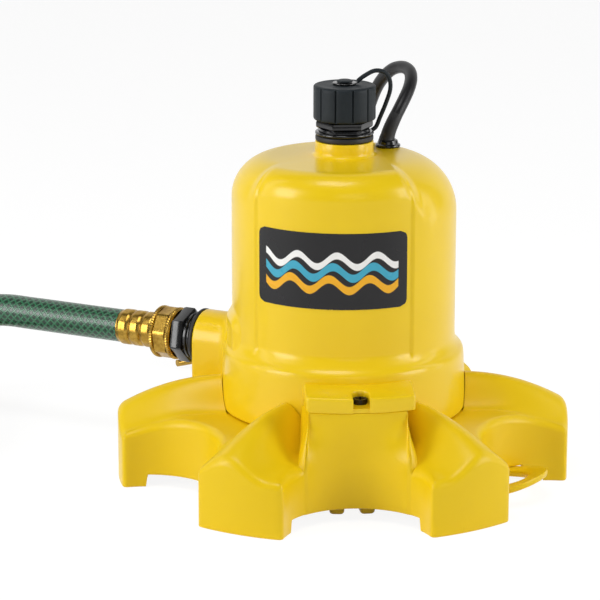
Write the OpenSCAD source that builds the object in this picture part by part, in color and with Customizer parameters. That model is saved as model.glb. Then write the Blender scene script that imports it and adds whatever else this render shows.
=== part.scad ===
// Submersible sump pump with a six-legged base, a top outlet closed by a tethered cap, and a side
// outlet that carries a short hose. Millimetres, +Z up, origin on the floor under the motor axis.
// Azimuths are counted from the front (-Y) towards +X.

/* [Base] */
// Radius of the leg tips
tip_r = 136; // [125:1:150]
// Wall of the lower casing
casing_wall = 3; // [2:0.5:4]
// Radius of the round cut between two legs
cut_r = 44; // [38:0.5:46]
// Distance of the cuts' centres from the motor axis
cut_centre_r = 139; // [136:0.5:146]
// Height of the deck around the motor housing
deck_z = 43; // [40:0.5:45]
// Height of the deck at the leg tips
tip_deck_z = 33.5; // [28:0.5:38]
// Height of a leg's ridge where it meets the housing
ridge_hub_z = 62; // [56:0.5:66]
// Height of a leg's ridge at its tip
ridge_tip_z = 44; // [40:0.5:50]
// Radius of the hump along a leg
hump_r = 22; // [18:0.5:24]
// Height of the cut walls above the floor
wall_lift = 7.4; // [7:0.2:9]
// Depth of a foot, from the leg tip inwards
foot_depth = 14.5; // [8:0.5:16]
// Width of the two screw panels
panel_w = 62; // [56:1:66]
// Height of the two screw panels
panel_z = 66; // [63:0.5:68]

/* [Upper housing] */
// Radius of the motor housing
body_r = 66.8; // [66:0.2:68]
// Wall of the motor housing
housing_wall = 3.2; // [2.4:0.2:3.6]
// Largest radius of the skirt
skirt_r = 73.3; // [72.6:0.1:75]
// Height of the dome's edge
dome_z = 196; // [190:1:210]
// Radius of the dome's shoulder
shoulder_r = 27; // [18:1:30]
// Radius of the outlet neck
neck_r = 17.3; // [16.5:0.1:18]
// Height of the top of the outlet neck
neck_top_z = 205; // [204:0.5:215]
// Height of the lettering-free ears above the screw panels
ear_h = 9; // [8:0.5:11]
// Width of the ears
ear_w = 65; // [58:1:68]

/* [Side outlet] */
// Direction of the side outlet
port_azimuth = -120; // [-122:1:-118]
// Height of the side outlet's axis
port_z = 72.5; // [71:0.5:76]
// Radius of the side outlet's boss
boss_r = 17.5; // [16.5:0.5:19]
// How far the boss's face stands back from the round cut under it
boss_setback = 0; // [0:0.5:3]

/* [Garden hose fittings] */
// Radius of the male hose thread
thread_r = 13.49; // [13.3:0.01:13.6]
// Radius over the corners of the adapters' hexagons
hex_r = 17; // [16.5:0.1:18]
// Radius of the adapters' bore
fitting_bore_r = 9.5; // [8:0.25:10]
// Radius of the outlet cap over its ribs
cap_r = 18.5; // [18:0.1:20]
// Length of the outlet cap
cap_len = 20.6; // [18:0.2:24]
// Number of grip ribs on the outlet cap
cap_ribs = 11; // [8:1:16]
// Radius over the knurls of the brass swivel nut
nut_r = 16.2; // [15.8:0.1:17.5]
// Length of the brass swivel nut
nut_len = 15; // [14:0.5:18]
// Radius of the crimped ferrule over its ribs
ferrule_r = 11.2; // [11:0.1:12]
// Length of the crimped ferrule
ferrule_len = 24.7; // [20:0.1:30]
// Diameter of the hose
hose_d = 20.4; // [19:0.2:21]

/* [Power cord] */
// Diameter of the power cord
cord_d = 7.7; // [6.5:0.1:8]
// Outer radius of the coil, at the middle of the cord
coil_r = 57.6; // [50:0.2:60]
// Turns in the coil
coil_turns = 7; // [5:2:7]
// Distance between neighbouring turns
coil_pitch = 8.3; // [8.2:0.1:8.6]
// Width of the mains plug's body
plug_w = 27; // [24:1:30]
// Length of the mains plug's body
plug_len = 34; // [28:1:40]

/* [Pump] */
// Height of the suction plate above the floor
plate_z = 8; // [7.6:0.1:9]
// Thickness of the suction plate
plate_t = 2.5; // [2:0.25:3]
// Gap between the suction plate and the wall around it
plate_gap = 4.5; // [3.5:0.5:8]
// Number of teeth around the suction plate
tooth_count = 30; // [20:1:36]
// Width of a tooth
tooth_w = 8.7; // [6:0.1:10]
// Gap between the teeth and the floor
tooth_gap = 0.8; // [0.5:0.1:2]
// Distance of the pull loop's centre from the plate's edge
loop_reach = 17.5; // [16:0.5:19.5]
// Outer radius of the pull loop
loop_r = 27; // [25:0.5:28]
// Opening radius of the pull loop
loop_hole_r = 16; // [14:0.5:16.5]
// Radius of the suction eye
eye_r = 18; // [14:0.5:19]
// Radius of the impeller
impeller_r = 42; // [36:0.5:46]
// Number of impeller vanes
vane_count = 6; // [4:1:8]

/* [Motor] */
// Radius of the motor can
can_r = 48.3; // [46:0.1:52]
// Wall of the motor can
can_wall = 1.5; // [1:0.1:2]
// Height of the top of the motor can
can_top_z = 158; // [156:0.5:160]
// Radius of the shaft
shaft_r = 5; // [4.5:0.1:6]
// Radius of the bearings
bearing_r = 15; // [13:0.5:16]
// Width of the bearings
bearing_w = 9; // [7:0.5:10]
// Radius of the stator's bore
stator_bore_r = 28.4; // [26:0.2:31]
// Air gap between rotor and stator
air_gap = 0.5; // [0.35:0.05:1]
// Length of the stator
stator_len = 46; // [36:1:50]

/* [Label] */
// Height of the lower edge of the label
label_z = 118; // [110:1:125]
// Height of the label
label_h = 45.3; // [35:0.1:50]
// Angle that the label covers
label_angle = 81; // [60:1:100]

/* [Hidden] */

$fn = 96;
leg_count = 6;
leg_azimuth = 30;
leg_step = 360 / leg_count;
panel_azimuths = [0, 180];
loop_azimuth = 60;

running_gap = 0.3;      // between bodies that move past each other
shaft_gap = 0.03;       // between the shaft and its bearings
seam = 0.3;             // between the skirt and the spigot inside it
screw_gap = 0.2;        // between a screw and its clearance hole

// Base
cut_edge_r = cut_centre_r - cut_r;
panel_side = 1.5;
ear_side = 3.2;
screw_side = 4;
deck_flat_r = 98;
deck_mid_r = 120;
deck_mid_z = tip_deck_z + 0.63 * (deck_z - tip_deck_z);
ridge_start_r = 70;
ridge_run = tip_r - ridge_start_r;
ridge_drop = ridge_hub_z - ridge_tip_z;
ridge_arc_r = (ridge_run * ridge_run + ridge_drop * ridge_drop) / (2 * ridge_drop);
hump_from = 52;
hump_to = 92;
tip_round = 8;
tip_round_z = ridge_tip_z - 3.6;
skirt_pocket_r = skirt_r + seam;
skirt_in_r = skirt_r - 3.7;
spigot_r = skirt_in_r - seam;
hub_bore_r = spigot_r - 2.8;
spigot_top_z = deck_z + 10;
foot_inner_r = tip_r - foot_depth;
plate_r = cut_edge_r - casing_wall - plate_gap;
loop_centre_r = plate_r + loop_reach;
loop_t = 4;
tooth_depth = 9;
loop_top_z = plate_z + plate_t;
vent_slot_len = 11;
vent_slot_w = 1.6;

// Pump chamber
flange_t = 3;
bracket_z = spigot_top_z + flange_t;
bracket_t = 6;
bracket_top_z = bracket_z + bracket_t;
chamber_wall = 3;
chamber_in_r = impeller_r + 7;
chamber_floor_z = 22;
post_r = 4.5;
post_at_r = chamber_in_r + chamber_wall + post_r + 2;
post_azimuths = [90, 210, 330];
rib_t = 3;
screw_r = 2;
screw_head_r = 4;
screw_head_h = 3;
screw_len = 14;
impeller_z = chamber_floor_z + chamber_wall + 2;
vane_h = 7;
vane_t = 2.4;
vane_arc_r = impeller_r * 0.55;
shroud_t = 3;
hub_r = 9;
hub_h = 14;
nut_h = 5;
shaft_bottom_z = impeller_z - nut_h - 1;

// Motor
seal_r = 11;
seal_h = 6;
seal_z = bracket_z - seal_h;
bearing_seat_z = bracket_top_z + 2;
can_in_r = can_r - can_wall;
cap_wall = 1.8;
motor_cap_h = 20;
motor_cap_z = can_top_z + motor_cap_h;
bracket_plate_t = 4;
upper_plate_z = can_top_z - 6;
upper_plate_top_z = upper_plate_z + bracket_plate_t;
upper_seat_z = upper_plate_top_z - 1 - bearing_w;
shaft_top_z = upper_plate_top_z - 0.3;
winding_h = 12.5;
stator_z = (bracket_top_z + upper_plate_z) / 2 - stator_len / 2 + 4;
stator_top_z = stator_z + stator_len;
rotor_r = stator_bore_r - air_gap;
window_at_r = 56;
window_r = 4.5;
window_count = 12;
gland_xy = [27.5, 21];
conduit_r = 7.5;
conduit_bore_r = 5;
lead_r = 1.3;
lead_at_r = 2.2;

// Upper housing
crown_z = dome_z + 0.4;
flare_top_z = 92;
ledge_z = 78;
ledge_r = body_r + 2.7;
skirt_bulge_z = bracket_top_z;
socket_r = 13.2;
socket_depth = 13;
ear_tab_t = 2.5;
screw_at_r = skirt_r + 0.68 * (cut_edge_r - skirt_r);
notch_r = 5.2;
boss_face = cut_edge_r - boss_setback;
port_screw_at = skirt_r + 31 / 42 * (cut_edge_r - casing_wall - screw_head_r - skirt_r);
boss_seat = 0.2;
port_screw_grip = 8;

// Top outlet
gasket_t = 3.5;
adapter_z = neck_top_z + gasket_t;
neck_len = 3.5;
adapter_neck_r = 15;
ring_t = 2.2;
ring_r = 17.4;
hex_h = 5;
hex_z = adapter_z + neck_len;
thread_z = hex_z + hex_h;
thread_len = 16;
cap_gap = 0.5;
cap_z = thread_z + cap_gap;
cap_top_z = cap_z + cap_len;
cap_bore_r = thread_r + running_gap;
washer_t = 2.2;
washer_z = thread_z + thread_len + running_gap;
cap_bore_top_z = washer_z + washer_t + running_gap;
washer_r = thread_r - 0.2;
button_r = 2.8;
button_head_r = 4.8;
button_head_h = 1.3;
eyelet_t = 1;
eyelet_r = 7.2;
eyelet_z = cap_top_z + running_gap;
button_head_z = eyelet_z + eyelet_t + running_gap;

// Side outlet, distances along its axis
port_neck_s = boss_face + 2.5;
port_hex_s = port_neck_s + 5.5;
port_hex_h = 8.6;
port_thread_s = port_hex_s + port_hex_h;
port_thread_len = 9.5;
hose_washer_s = port_thread_s + port_thread_len + running_gap;
flange_s = hose_washer_s + washer_t;
tail_flange_t = 1.4;
swivel_s = flange_s + tail_flange_t + running_gap;
swivel_t = 0.6;
swivel_gap = 0.05;
nut_s = port_thread_s + 0.4;
nut_end_s = nut_s + nut_len;
nut_travel = 1.0;
nut_bore_r = thread_r + running_gap;
tail_neck_r = 9.2;
tail_bore_r = 5.5;
tail_stem_r = 7.5;
ferrule_s = nut_end_s + nut_travel + running_gap;
hose_s = ferrule_s + ferrule_len;

// Far end of the hose
end_ferrule_len = ferrule_len;
end_collar_len = 7;
end_thread_len = 12;
end_collar_r = 15.5;

// Label
film_gap = 0.05;
film_t = 0.25;

// Cord and plug
cord_r = cord_d / 2;
hose_r = hose_d / 2;
tie_t = 1;
coil_centre = [0, 205];
coil_z = cord_r + tie_t;
layer_h = coil_pitch - 0.1;
coil_in_r = coil_r - coil_pitch * coil_turns / 2;
gland_base_z = crown_z + 0.2;
gland_flange_t = 1.8;
gland_top_z = dome_z + 5;
coil_steps = 24;
tail_turn = 120;
tail_end_r = coil_r + 13.4;
tail_dir = [-sin(tail_turn), cos(tail_turn), 0];
plug_h = 25.4;
relief_len = 18;
plug_z = plug_h / 2;
plug_at = [coil_centre[0] + tail_end_r * cos(tail_turn),
           coil_centre[1] + tail_end_r * sin(tail_turn), plug_z];
blade_w = 6.35;
blade_t = 1.5;
blade_len = 17.5;
blade_gap = 12.7;
ground_r = 2.38;
ground_len = 20;

// Middle of the power cord, from the gland down the back of the pump to the start of its coil
cord_route = [[26.9, 21, gland_top_z], [28.3, 21.2, 206.2], [31, 22.2, 212.3], [34.3, 24.9, 218.1],
              [37.9, 29.8, 223.7], [41.2, 36.8, 228.8], [43.2, 45.2, 233.1], [43, 54.5, 236.1],
              [39.8, 64, 236.9], [34.6, 73.3, 234.2], [29.8, 81.7, 228], [25.7, 89.2, 219.4],
              [22.3, 95, 208.6], [18.9, 98.8, 196], [15.2, 101.2, 179.5], [11.6, 102.6, 161],
              [8.5, 103.4, 141], [6.2, 103.8, 121], [4.9, 104, 101], [4.5, 104.6, 82], [5, 106.4, 64],
              [6.8, 110.4, 47.5], [9.8, 117.2, 32.5], [14, 127.4, 19.5], [20.5, 138.3, 9.8],
              [30, 150, 5.6], [37.4, 158.6, coil_z],
              [44, 166.4, coil_z], [50, 175, coil_z], [54, 184.5, coil_z], [56.7, 194.6, coil_z],
              [coil_centre[0] + coil_r, coil_centre[1], coil_z]];

// Middle of the hose, from the ferrule to the far ferrule
port_dir = [sin(port_azimuth), -cos(port_azimuth), 0];
hose_start = port_dir * hose_s + [0, 0, port_z];
hose_route = [hose_start, [-151.6, 87.5, port_z], [-172.3, 99.5, port_z], [-190.5, 110, port_z],
              [-209, 120.7, 72.1], [-232.7, 134.4, 67.5], [-256.5, 148.1, 58.4], [-280.2, 161.8, 46.3],
              [-304.3, 174.8, 33.4], [-330.6, 182.2, 21.9], [-358, 182.9, 13.7], [-384.6, 176.9, 10.4],
              [-409, 164.4, 10.4], [-429.5, 146.4, 10.4], [-444.9, 123.8, 10.4], [-454.3, 98.1, 10.4],
              [-457.1, 71, 10.4], [-453.1, 43.9, 10.4], [-442.5, 18.7, 10.4], [-426.1, -3.1, 10.4],
              [-404.8, -20.2, 10.4], [-379.9, -31.6, 10.4], [-353, -36.4, 10.4], [-325.7, -34.5, 10.4],
              [-299.8, -25.9, 10.4], [-276.8, -11.1, 10.4], [-258.1, 8.9, 10.6], [-244.9, 32.8, 11.7],
              [-238.1, 59.3, 13.2], [-237.1, 86.6, 14.4], [-237.1, 114, 14.6], [-237.1, 141.4, 14.6]];
hose_end_dir = [0, 1, 0];

// Middle of the cap's tether, from its ring on the neck to the eyelet on the button
tether_route = [[16.6, 5.3, adapter_z + 1.1], [19.2, 5.9, adapter_z + 3.2], [21.4, 5.8, adapter_z + 8.6],
                [24.6, 5, adapter_z + 16.8], [27.2, 4, adapter_z + 25.6], [26.6, 3, adapter_z + 32.2],
                [23.4, 2, adapter_z + 36.4], [17.6, 1, adapter_z + 37.4], [11.4, 0.4, adapter_z + 34.4],
                [eyelet_r + running_gap, 0, eyelet_z + 1.5]];
tether_d = 2.6;

// ---- helpers ----

// Children built along +X point to the azimuth
module at_azimuth(azimuth) rotate([0, 0, azimuth - 90]) children();

// Children built along +Z lie on the side outlet's axis, their Z counted from the motor axis
module on_port() at_azimuth(port_azimuth) translate([0, 0, port_z]) rotate([0, 90, 0]) children();

module ring(r_out, r_in, h) difference() {
    cylinder(r = r_out, h = h);
    translate([0, 0, -1]) cylinder(r = r_in, h = h + 2);
}

// A point on the smooth curve through p1 and p2, with p0 and p3 beyond them
function curve_point(p0, p1, p2, p3, t) =
    0.5 * ((2 * p1) + (p2 - p0) * t + (2 * p0 - 5 * p1 + 4 * p2 - p3) * t * t
           + (3 * p1 - p0 - 3 * p2 + p3) * t * t * t);
function smooth_route(route, steps) = let (n = len(route)) [
    for (i = [0 : n - 2], s = [0 : steps - 1])
        curve_point(route[max(i - 1, 0)], route[i], route[i + 1], route[min(i + 2, n - 1)], s / steps),
    route[n - 1]];

function unit(v) = v / norm(v);
// Direction of the path at point i, with the stated directions at its two ends
function path_dir(path, i, first, last) =
    i == 0 ? first : i == len(path) - 1 ? last : unit(path[i + 1] - path[i - 1]);

// Frames carried along the path: each keeps the last one's side, made square to the path again
function side_of(side, dir) = unit(side - dir * (side * dir));
function carried_sides(dirs, first) = let (n = len(dirs)) [
    for (i = 0, s = side_of(first, dirs[0]); i < n; i = i + 1, s = i < n ? side_of(s, dirs[i]) : s) s];

// A closed tube around a path
module tube(path, r, sides, first_dir, last_dir, side = [0.2, 0.1, 1]) {
    n = len(path);
    dirs = [for (i = [0 : n - 1]) path_dir(path, i, first_dir, last_dir)];
    across = carried_sides(dirs, side);
    points = [for (i = [0 : n - 1], k = [0 : sides - 1])
        let (a = 360 * k / sides, up = cross(dirs[i], across[i]))
        path[i] + r * (cos(a) * across[i] + sin(a) * up)];
    walls = [for (i = [0 : n - 2], k = [0 : sides - 1]) let (k2 = (k + 1) % sides) each [
        [i * sides + k, (i + 1) * sides + k, (i + 1) * sides + k2],
        [i * sides + k, (i + 1) * sides + k2, i * sides + k2]]];
    caps = [for (k = [1 : sides - 2]) each [
        [0, k, k + 1],
        [(n - 1) * sides, (n - 1) * sides + k + 1, (n - 1) * sides + k]]];
    polyhedron(points = points, faces = concat(walls, caps), convexity = 10);
}

// ---- base ----

module deck(inset, floor_z) rotate_extrude()
    polygon([[0, floor_z], [tip_r, floor_z], [tip_r, tip_deck_z - inset], [deck_mid_r, deck_mid_z - inset],
             [deck_flat_r, deck_z - inset], [0, deck_z - inset]]);

// The hump along a leg: a stretch of a wheel that stands on edge, its rim the leg's ridge
module hump(inset) translate([ridge_start_r, 0, ridge_hub_z - ridge_arc_r]) rotate([90, 0, 0])
    rotate([0, 0, hump_from]) rotate_extrude(angle = hump_to - hump_from)
        translate([ridge_arc_r - hump_r, 0]) circle(r = hump_r - inset, $fn = 64);

module panel_block(inset, floor_z) translate([hub_bore_r, panel_side + inset - panel_w / 2, floor_z])
    cube([tip_r - hub_bore_r, panel_w - 2 * inset, panel_z - inset - floor_z]);

module tip_barrel(inset, floor_z) rotate_extrude() polygon(concat(
    [[0, floor_z], [tip_r - inset, floor_z]],
    arc(tip_r - tip_round, tip_round_z, tip_round - inset, 0, 80, 4),
    [[tip_r - tip_round, panel_z + 10], [0, panel_z + 10]]));

module leg_cuts(r) for (i = [0 : leg_count - 1])
    at_azimuth(i * leg_step) translate([cut_centre_r, 0, -2]) cylinder(r = r, h = 120);

module casing_form(inset, floor_z) difference() {
    intersection() {
        union() {
            deck(inset, floor_z);
            for (i = [0 : leg_count - 1]) at_azimuth(leg_azimuth + i * leg_step) hump(inset);
            for (a = panel_azimuths) at_azimuth(a) panel_block(inset, floor_z);
        }
        tip_barrel(inset, floor_z);
    }
    leg_cuts(cut_r + inset);
}

module boss_block(grow) at_azimuth(port_azimuth)
    translate([body_r - 6, -boss_r - grow, deck_z + boss_seat - grow])
        cube([boss_face + grow - body_r + 6, 2 * (boss_r + grow), port_z - deck_z - boss_seat + grow]);

module screw_holes(r, z, h) for (a = panel_azimuths)
    at_azimuth(a) translate([screw_at_r, screw_side, z]) cylinder(r = r, h = h, $fn = 32);

module lower_casing() color("#e6b91e") {
    difference() {
        casing_form(0, 0);
        difference() {
            casing_form(casing_wall, -1);
            translate([0, 0, deck_z - casing_wall]) cylinder(r = skirt_pocket_r + casing_wall, h = 60);
            screw_holes(screw_r + 2.5, 20, 60);
        }
        translate([0, 0, deck_z]) cylinder(r = skirt_pocket_r, h = 60);
        translate([0, 0, -1]) cylinder(r = hub_bore_r, h = 60);
        translate([0, 0, -1]) cylinder(r = foot_inner_r, h = wall_lift + 1);
        boss_block(seam);
        at_azimuth(loop_azimuth) translate([plate_r - 1, -loop_r - 1.5, -1])
            cube([tip_r - plate_r, 2 * loop_r + 3, loop_top_z + 3]);
        screw_holes(screw_r, panel_z - screw_len, 60);
        at_azimuth(port_azimuth) translate([port_screw_at, 0, 0])
            cylinder(r = screw_r + screw_gap, h = 60, $fn = 32);
        for (p = [[-95, -23], [-76, -42.5]]) translate([p[0], p[1], deck_z - 10]) rotate([0, 0, 32])
            translate([-vent_slot_len / 2, -vent_slot_w / 2, 0]) cube([vent_slot_len, vent_slot_w, 20]);
    }
    translate([0, 0, deck_z - casing_wall]) ring(spigot_r, hub_bore_r, spigot_top_z - deck_z + casing_wall);
}

// ---- upper housing ----

function arc(cx, cz, r, from, to, steps) =
    [for (i = [0 : steps]) let (a = from + (to - from) * i / steps) [cx + r * cos(a), cz + r * sin(a)]];

module housing_outside() rotate_extrude() polygon(concat(
    [[0, neck_top_z], [neck_r, neck_top_z]],
    arc(neck_r + 3, crown_z + 3, 3, 180, 270, 3),
    arc(body_r - shoulder_r, dome_z - shoulder_r, shoulder_r, 90, 0, 8),
    [[body_r, flare_top_z], [body_r + 0.5, flare_top_z - 6], [ledge_r, ledge_z], [ledge_r + 1.6, ledge_z - 6],
     [skirt_r - 0.3, ledge_z - 14], [skirt_r, skirt_bulge_z - 3]],
    arc(skirt_r - 4, deck_z + 4.5, 4, 0, -60, 4),
    [[skirt_in_r + 1, deck_z], [0, deck_z]]));

module housing_inside() rotate_extrude() polygon(concat(
    [[0, neck_top_z + 1], [socket_r, neck_top_z + 1], [socket_r, crown_z - housing_wall]],
    arc(body_r - shoulder_r, dome_z - shoulder_r, shoulder_r - housing_wall, 90, 0, 8),
    [[body_r - housing_wall, flare_top_z], [spigot_r - 3.3, ledge_z], [spigot_r - 3.3, bracket_top_z],
     [skirt_in_r, bracket_top_z], [skirt_in_r, deck_z - 1], [0, deck_z - 1]]));

module ear(azimuth) difference() {
    at_azimuth(azimuth) difference() {
        translate([body_r, ear_side - ear_w / 2, panel_z]) cube([tip_r - body_r, ear_w, ear_h]);
        translate([screw_at_r, screw_side - notch_r, panel_z + ear_tab_t])
            cube([tip_r - screw_at_r, 2 * notch_r, ear_h]);
        translate([screw_at_r, screw_side, panel_z + ear_tab_t]) cylinder(r = notch_r, h = ear_h);
        translate([screw_at_r, screw_side, panel_z - 1])
            cylinder(r = screw_r + screw_gap, h = ear_h, $fn = 32);
    }
    leg_cuts(cut_r - 0.8);
}

module upper_housing() color("#eec31a") {
    difference() {
        union() {
            housing_outside();
            on_port() translate([0, 0, body_r - 10]) cylinder(r = boss_r, h = boss_face - body_r + 10);
            on_port() translate([0, 0, body_r - 5]) cylinder(r1 = boss_r + 9, r2 = boss_r, h = 15);
            boss_block(0);
            for (a = panel_azimuths) ear(a);
        }
        housing_inside();
        on_port() translate([0, 0, 40]) cylinder(r = fitting_bore_r, h = 60);
        on_port() translate([0, 0, boss_face - socket_depth]) cylinder(r = socket_r, h = 20);
        at_azimuth(port_azimuth) translate([port_screw_at, 0, deck_z - 1])
            cylinder(r = screw_r, h = port_screw_grip + 1, $fn = 32);
        translate([gland_xy[0], gland_xy[1], dome_z - 12]) cylinder(r = conduit_bore_r, h = 20);
    }
    translate([gland_xy[0], gland_xy[1], motor_cap_z])
        ring(conduit_r, conduit_bore_r, dome_z - housing_wall + 1 - motor_cap_z);
}

// ---- suction side ----

module suction_screen() color("#d2a327") difference() {
    union() {
        translate([0, 0, plate_z]) cylinder(r = plate_r, h = plate_t);
        translate([0, 0, plate_z]) cylinder(r = eye_r + 3, h = chamber_floor_z - chamber_wall - plate_z);
        for (i = [0 : tooth_count - 1]) at_azimuth((i + 0.5) * 360 / tooth_count)
            translate([plate_r - tooth_depth, -tooth_w / 2, tooth_gap])
                cube([tooth_depth, tooth_w, plate_z + plate_t / 2 - tooth_gap]);
        at_azimuth(loop_azimuth) translate([loop_centre_r, 0, loop_top_z - loop_t])
            cylinder(r = loop_r, h = loop_t);
    }
    translate([0, 0, plate_z - 1]) cylinder(r = eye_r, h = 30);
    at_azimuth(loop_azimuth) translate([loop_centre_r, 0, plate_z - loop_t])
        cylinder(r = loop_hole_r, h = 3 * loop_t);
    for (a = post_azimuths) at_azimuth(a) translate([post_at_r, 0, plate_z - 1])
        cylinder(r = screw_r + screw_gap, h = plate_t + 2, $fn = 32);
}

module screw(length) {
    cylinder(r = screw_r, h = length, $fn = 32);
    translate([0, 0, length]) difference() {
        cylinder(r = screw_head_r, h = screw_head_h, $fn = 48);
        translate([0, 0, screw_head_h - 1.6]) {
            translate([-2.6, -0.6, 0]) cube([5.2, 1.2, 3]);
            translate([-0.6, -2.6, 0]) cube([1.2, 5.2, 3]);
        }
    }
}

module screen_screws() color("silver") for (a = post_azimuths)
    at_azimuth(a) translate([post_at_r, 0, plate_z + screw_len - 2]) rotate([180, 0, 0]) screw(screw_len - 2);

module pump_chamber() color("#2b2b2d") difference() {
    union() {
        translate([0, 0, spigot_top_z]) cylinder(r = spigot_r, h = flange_t);
        translate([0, 0, chamber_floor_z])
            cylinder(r = chamber_in_r + chamber_wall, h = bracket_z - chamber_floor_z);
        translate([0, 0, chamber_floor_z - chamber_wall]) cylinder(r = eye_r + 3, h = chamber_wall);
        for (a = post_azimuths) at_azimuth(a) {
            translate([post_at_r, 0, plate_z + plate_t])
                cylinder(r = post_r, h = bracket_z - plate_z - plate_t);
            translate([chamber_in_r, -rib_t / 2, chamber_floor_z])
                cube([post_at_r - chamber_in_r, rib_t, bracket_z - chamber_floor_z]);
        }
    }
    translate([0, 0, chamber_floor_z + chamber_wall]) cylinder(r = chamber_in_r, h = 60);
    translate([0, 0, 5]) cylinder(r = eye_r, h = 60);
    for (a = post_azimuths) at_azimuth(a) translate([post_at_r, 0, 5])
        cylinder(r = screw_r, h = plate_z + screw_len - 5, $fn = 32);
}

// ---- motor ----

module motor_bracket() color("#3a3c40") difference() {
    union() {
        translate([0, 0, bracket_z]) cylinder(r = spigot_r, h = bracket_t);
        translate([0, 0, seal_z]) cylinder(r = seal_r + 3, h = seal_h + 1);
        translate([0, 0, bracket_top_z - 1]) cylinder(r = bearing_r + 4.5, h = bearing_w + 3);
    }
    translate([0, 0, seal_z - 1]) cylinder(r = seal_r, h = seal_h + 1);
    translate([0, 0, seal_z]) cylinder(r = shaft_r + 1.5, h = 40);
    translate([0, 0, bearing_seat_z]) cylinder(r = bearing_r, h = 30);
    for (i = [0 : window_count - 1]) at_azimuth(15 + i * 360 / window_count)
        translate([window_at_r, 0, bracket_z - 1]) cylinder(r = window_r, h = bracket_t + 2, $fn = 32);
    translate([0, 0, bracket_z + 1.6]) ring(spigot_r + 1, spigot_r - 2.5, 2.8);
}

module housing_seal() color("#1c1c1c") translate([0, 0, bracket_z + 3]) rotate_extrude()
    translate([spigot_r - 1.2, 0]) circle(r = 1.2, $fn = 32);

module housing_screws() color("silver") {
    for (a = panel_azimuths) at_azimuth(a)
        translate([screw_at_r, screw_side, panel_z + ear_tab_t - screw_len]) screw(screw_len);
    at_azimuth(port_azimuth) translate([port_screw_at, 0, deck_z + port_screw_grip])
        rotate([180, 0, 0]) screw(port_screw_grip + casing_wall);
}

module motor_can() color("#9a9ca0") translate([0, 0, bracket_top_z])
    ring(can_r, can_in_r, can_top_z - bracket_top_z);

module motor_top_cap() color("#86888c") difference() {
    translate([0, 0, can_top_z]) cylinder(r = can_r, h = motor_cap_h);
    translate([0, 0, can_top_z - 1]) cylinder(r = can_r - cap_wall, h = motor_cap_h - cap_wall + 1);
    translate([gland_xy[0], gland_xy[1], can_top_z]) cylinder(r = conduit_bore_r - 1, h = 40);
}

module upper_bracket() color("#7c7e82") difference() {
    union() {
        translate([0, 0, upper_plate_z]) cylinder(r = can_in_r, h = bracket_plate_t);
        translate([0, 0, upper_seat_z]) cylinder(r = bearing_r + 3.5, h = bearing_w + 1);
    }
    translate([0, 0, upper_seat_z - 1]) cylinder(r = bearing_r, h = bearing_w + 1);
    translate([0, 0, upper_seat_z]) cylinder(r = shaft_r + 1, h = 40);
    translate([gland_xy[0], gland_xy[1], upper_plate_z - 1]) cylinder(r = conduit_bore_r - 0.5, h = 10);
}

module stator_core() color("#5d6066") translate([0, 0, stator_z]) ring(can_in_r, stator_bore_r, stator_len);

module winding(z) translate([0, 0, z]) rotate_extrude() {
    translate([stator_bore_r + 2, 0]) square([can_in_r - stator_bore_r - 6, winding_h]);
}

module stator_windings() color("#b4622d") {
    winding(stator_z - winding_h);
    winding(stator_top_z);
}

module run_capacitor() color("#d8d8d4") translate([-20, -18, upper_plate_top_z + 8]) rotate([0, 90, 0])
    cylinder(r = 8, h = 40);

module thermal_protector() color("#202020") translate([-14, 12, upper_plate_top_z]) cube([18, 10, 8]);

module motor_leads() for (i = [0 : 2])
    color(["black", "white", "green"][i]) translate([gland_xy[0], gland_xy[1], stator_top_z + winding_h])
        rotate([0, 0, 120 * i]) translate([lead_at_r, 0, 0])
            cylinder(r = lead_r, h = dome_z - 3 - stator_top_z - winding_h, $fn = 24);

module bearing(z) color("#b8bbc0") translate([0, 0, z]) ring(bearing_r, shaft_r + shaft_gap, bearing_w);

module lower_bearing() bearing(bearing_seat_z);

module upper_bearing() bearing(upper_seat_z);

module shaft_seal() color("#252525") translate([0, 0, seal_z]) ring(seal_r, shaft_r + shaft_gap, seal_h);

// ---- rotor ----

module rotor_shaft() color("#c8cbd0") translate([0, 0, shaft_bottom_z])
    cylinder(r = shaft_r, h = shaft_top_z - shaft_bottom_z);

module rotor_core() color("#70747a") translate([0, 0, stator_z - 1]) ring(rotor_r, shaft_r, stator_len + 2);

module impeller() color("#e8e4d8") difference() {
    union() {
        translate([0, 0, impeller_z + vane_h]) cylinder(r = impeller_r, h = shroud_t);
        translate([0, 0, impeller_z]) cylinder(r = hub_r, h = hub_h);
        for (i = [0 : vane_count - 1]) rotate([0, 0, i * 360 / vane_count]) translate([0, 0, impeller_z])
            intersection() {
                translate([0, vane_arc_r, 0.5]) ring(vane_arc_r, vane_arc_r - vane_t, vane_h);
                translate([1, -1, 0]) cube([impeller_r, impeller_r, vane_h + 1]);
                cylinder(r = impeller_r - 0.5, h = vane_h + 1);
            }
    }
    translate([0, 0, impeller_z - 1]) cylinder(r = shaft_r, h = hub_h + 2);
}

module impeller_nut() color("silver") translate([0, 0, impeller_z - nut_h]) difference() {
    cylinder(r = 8.5, h = nut_h, $fn = 6);
    translate([0, 0, -1]) cylinder(r = shaft_r, h = nut_h + 2);
}

// ---- top outlet ----

module outlet_gasket() color("#141414") translate([0, 0, neck_top_z])
    ring(neck_r - 0.3, socket_r, gasket_t);

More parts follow.
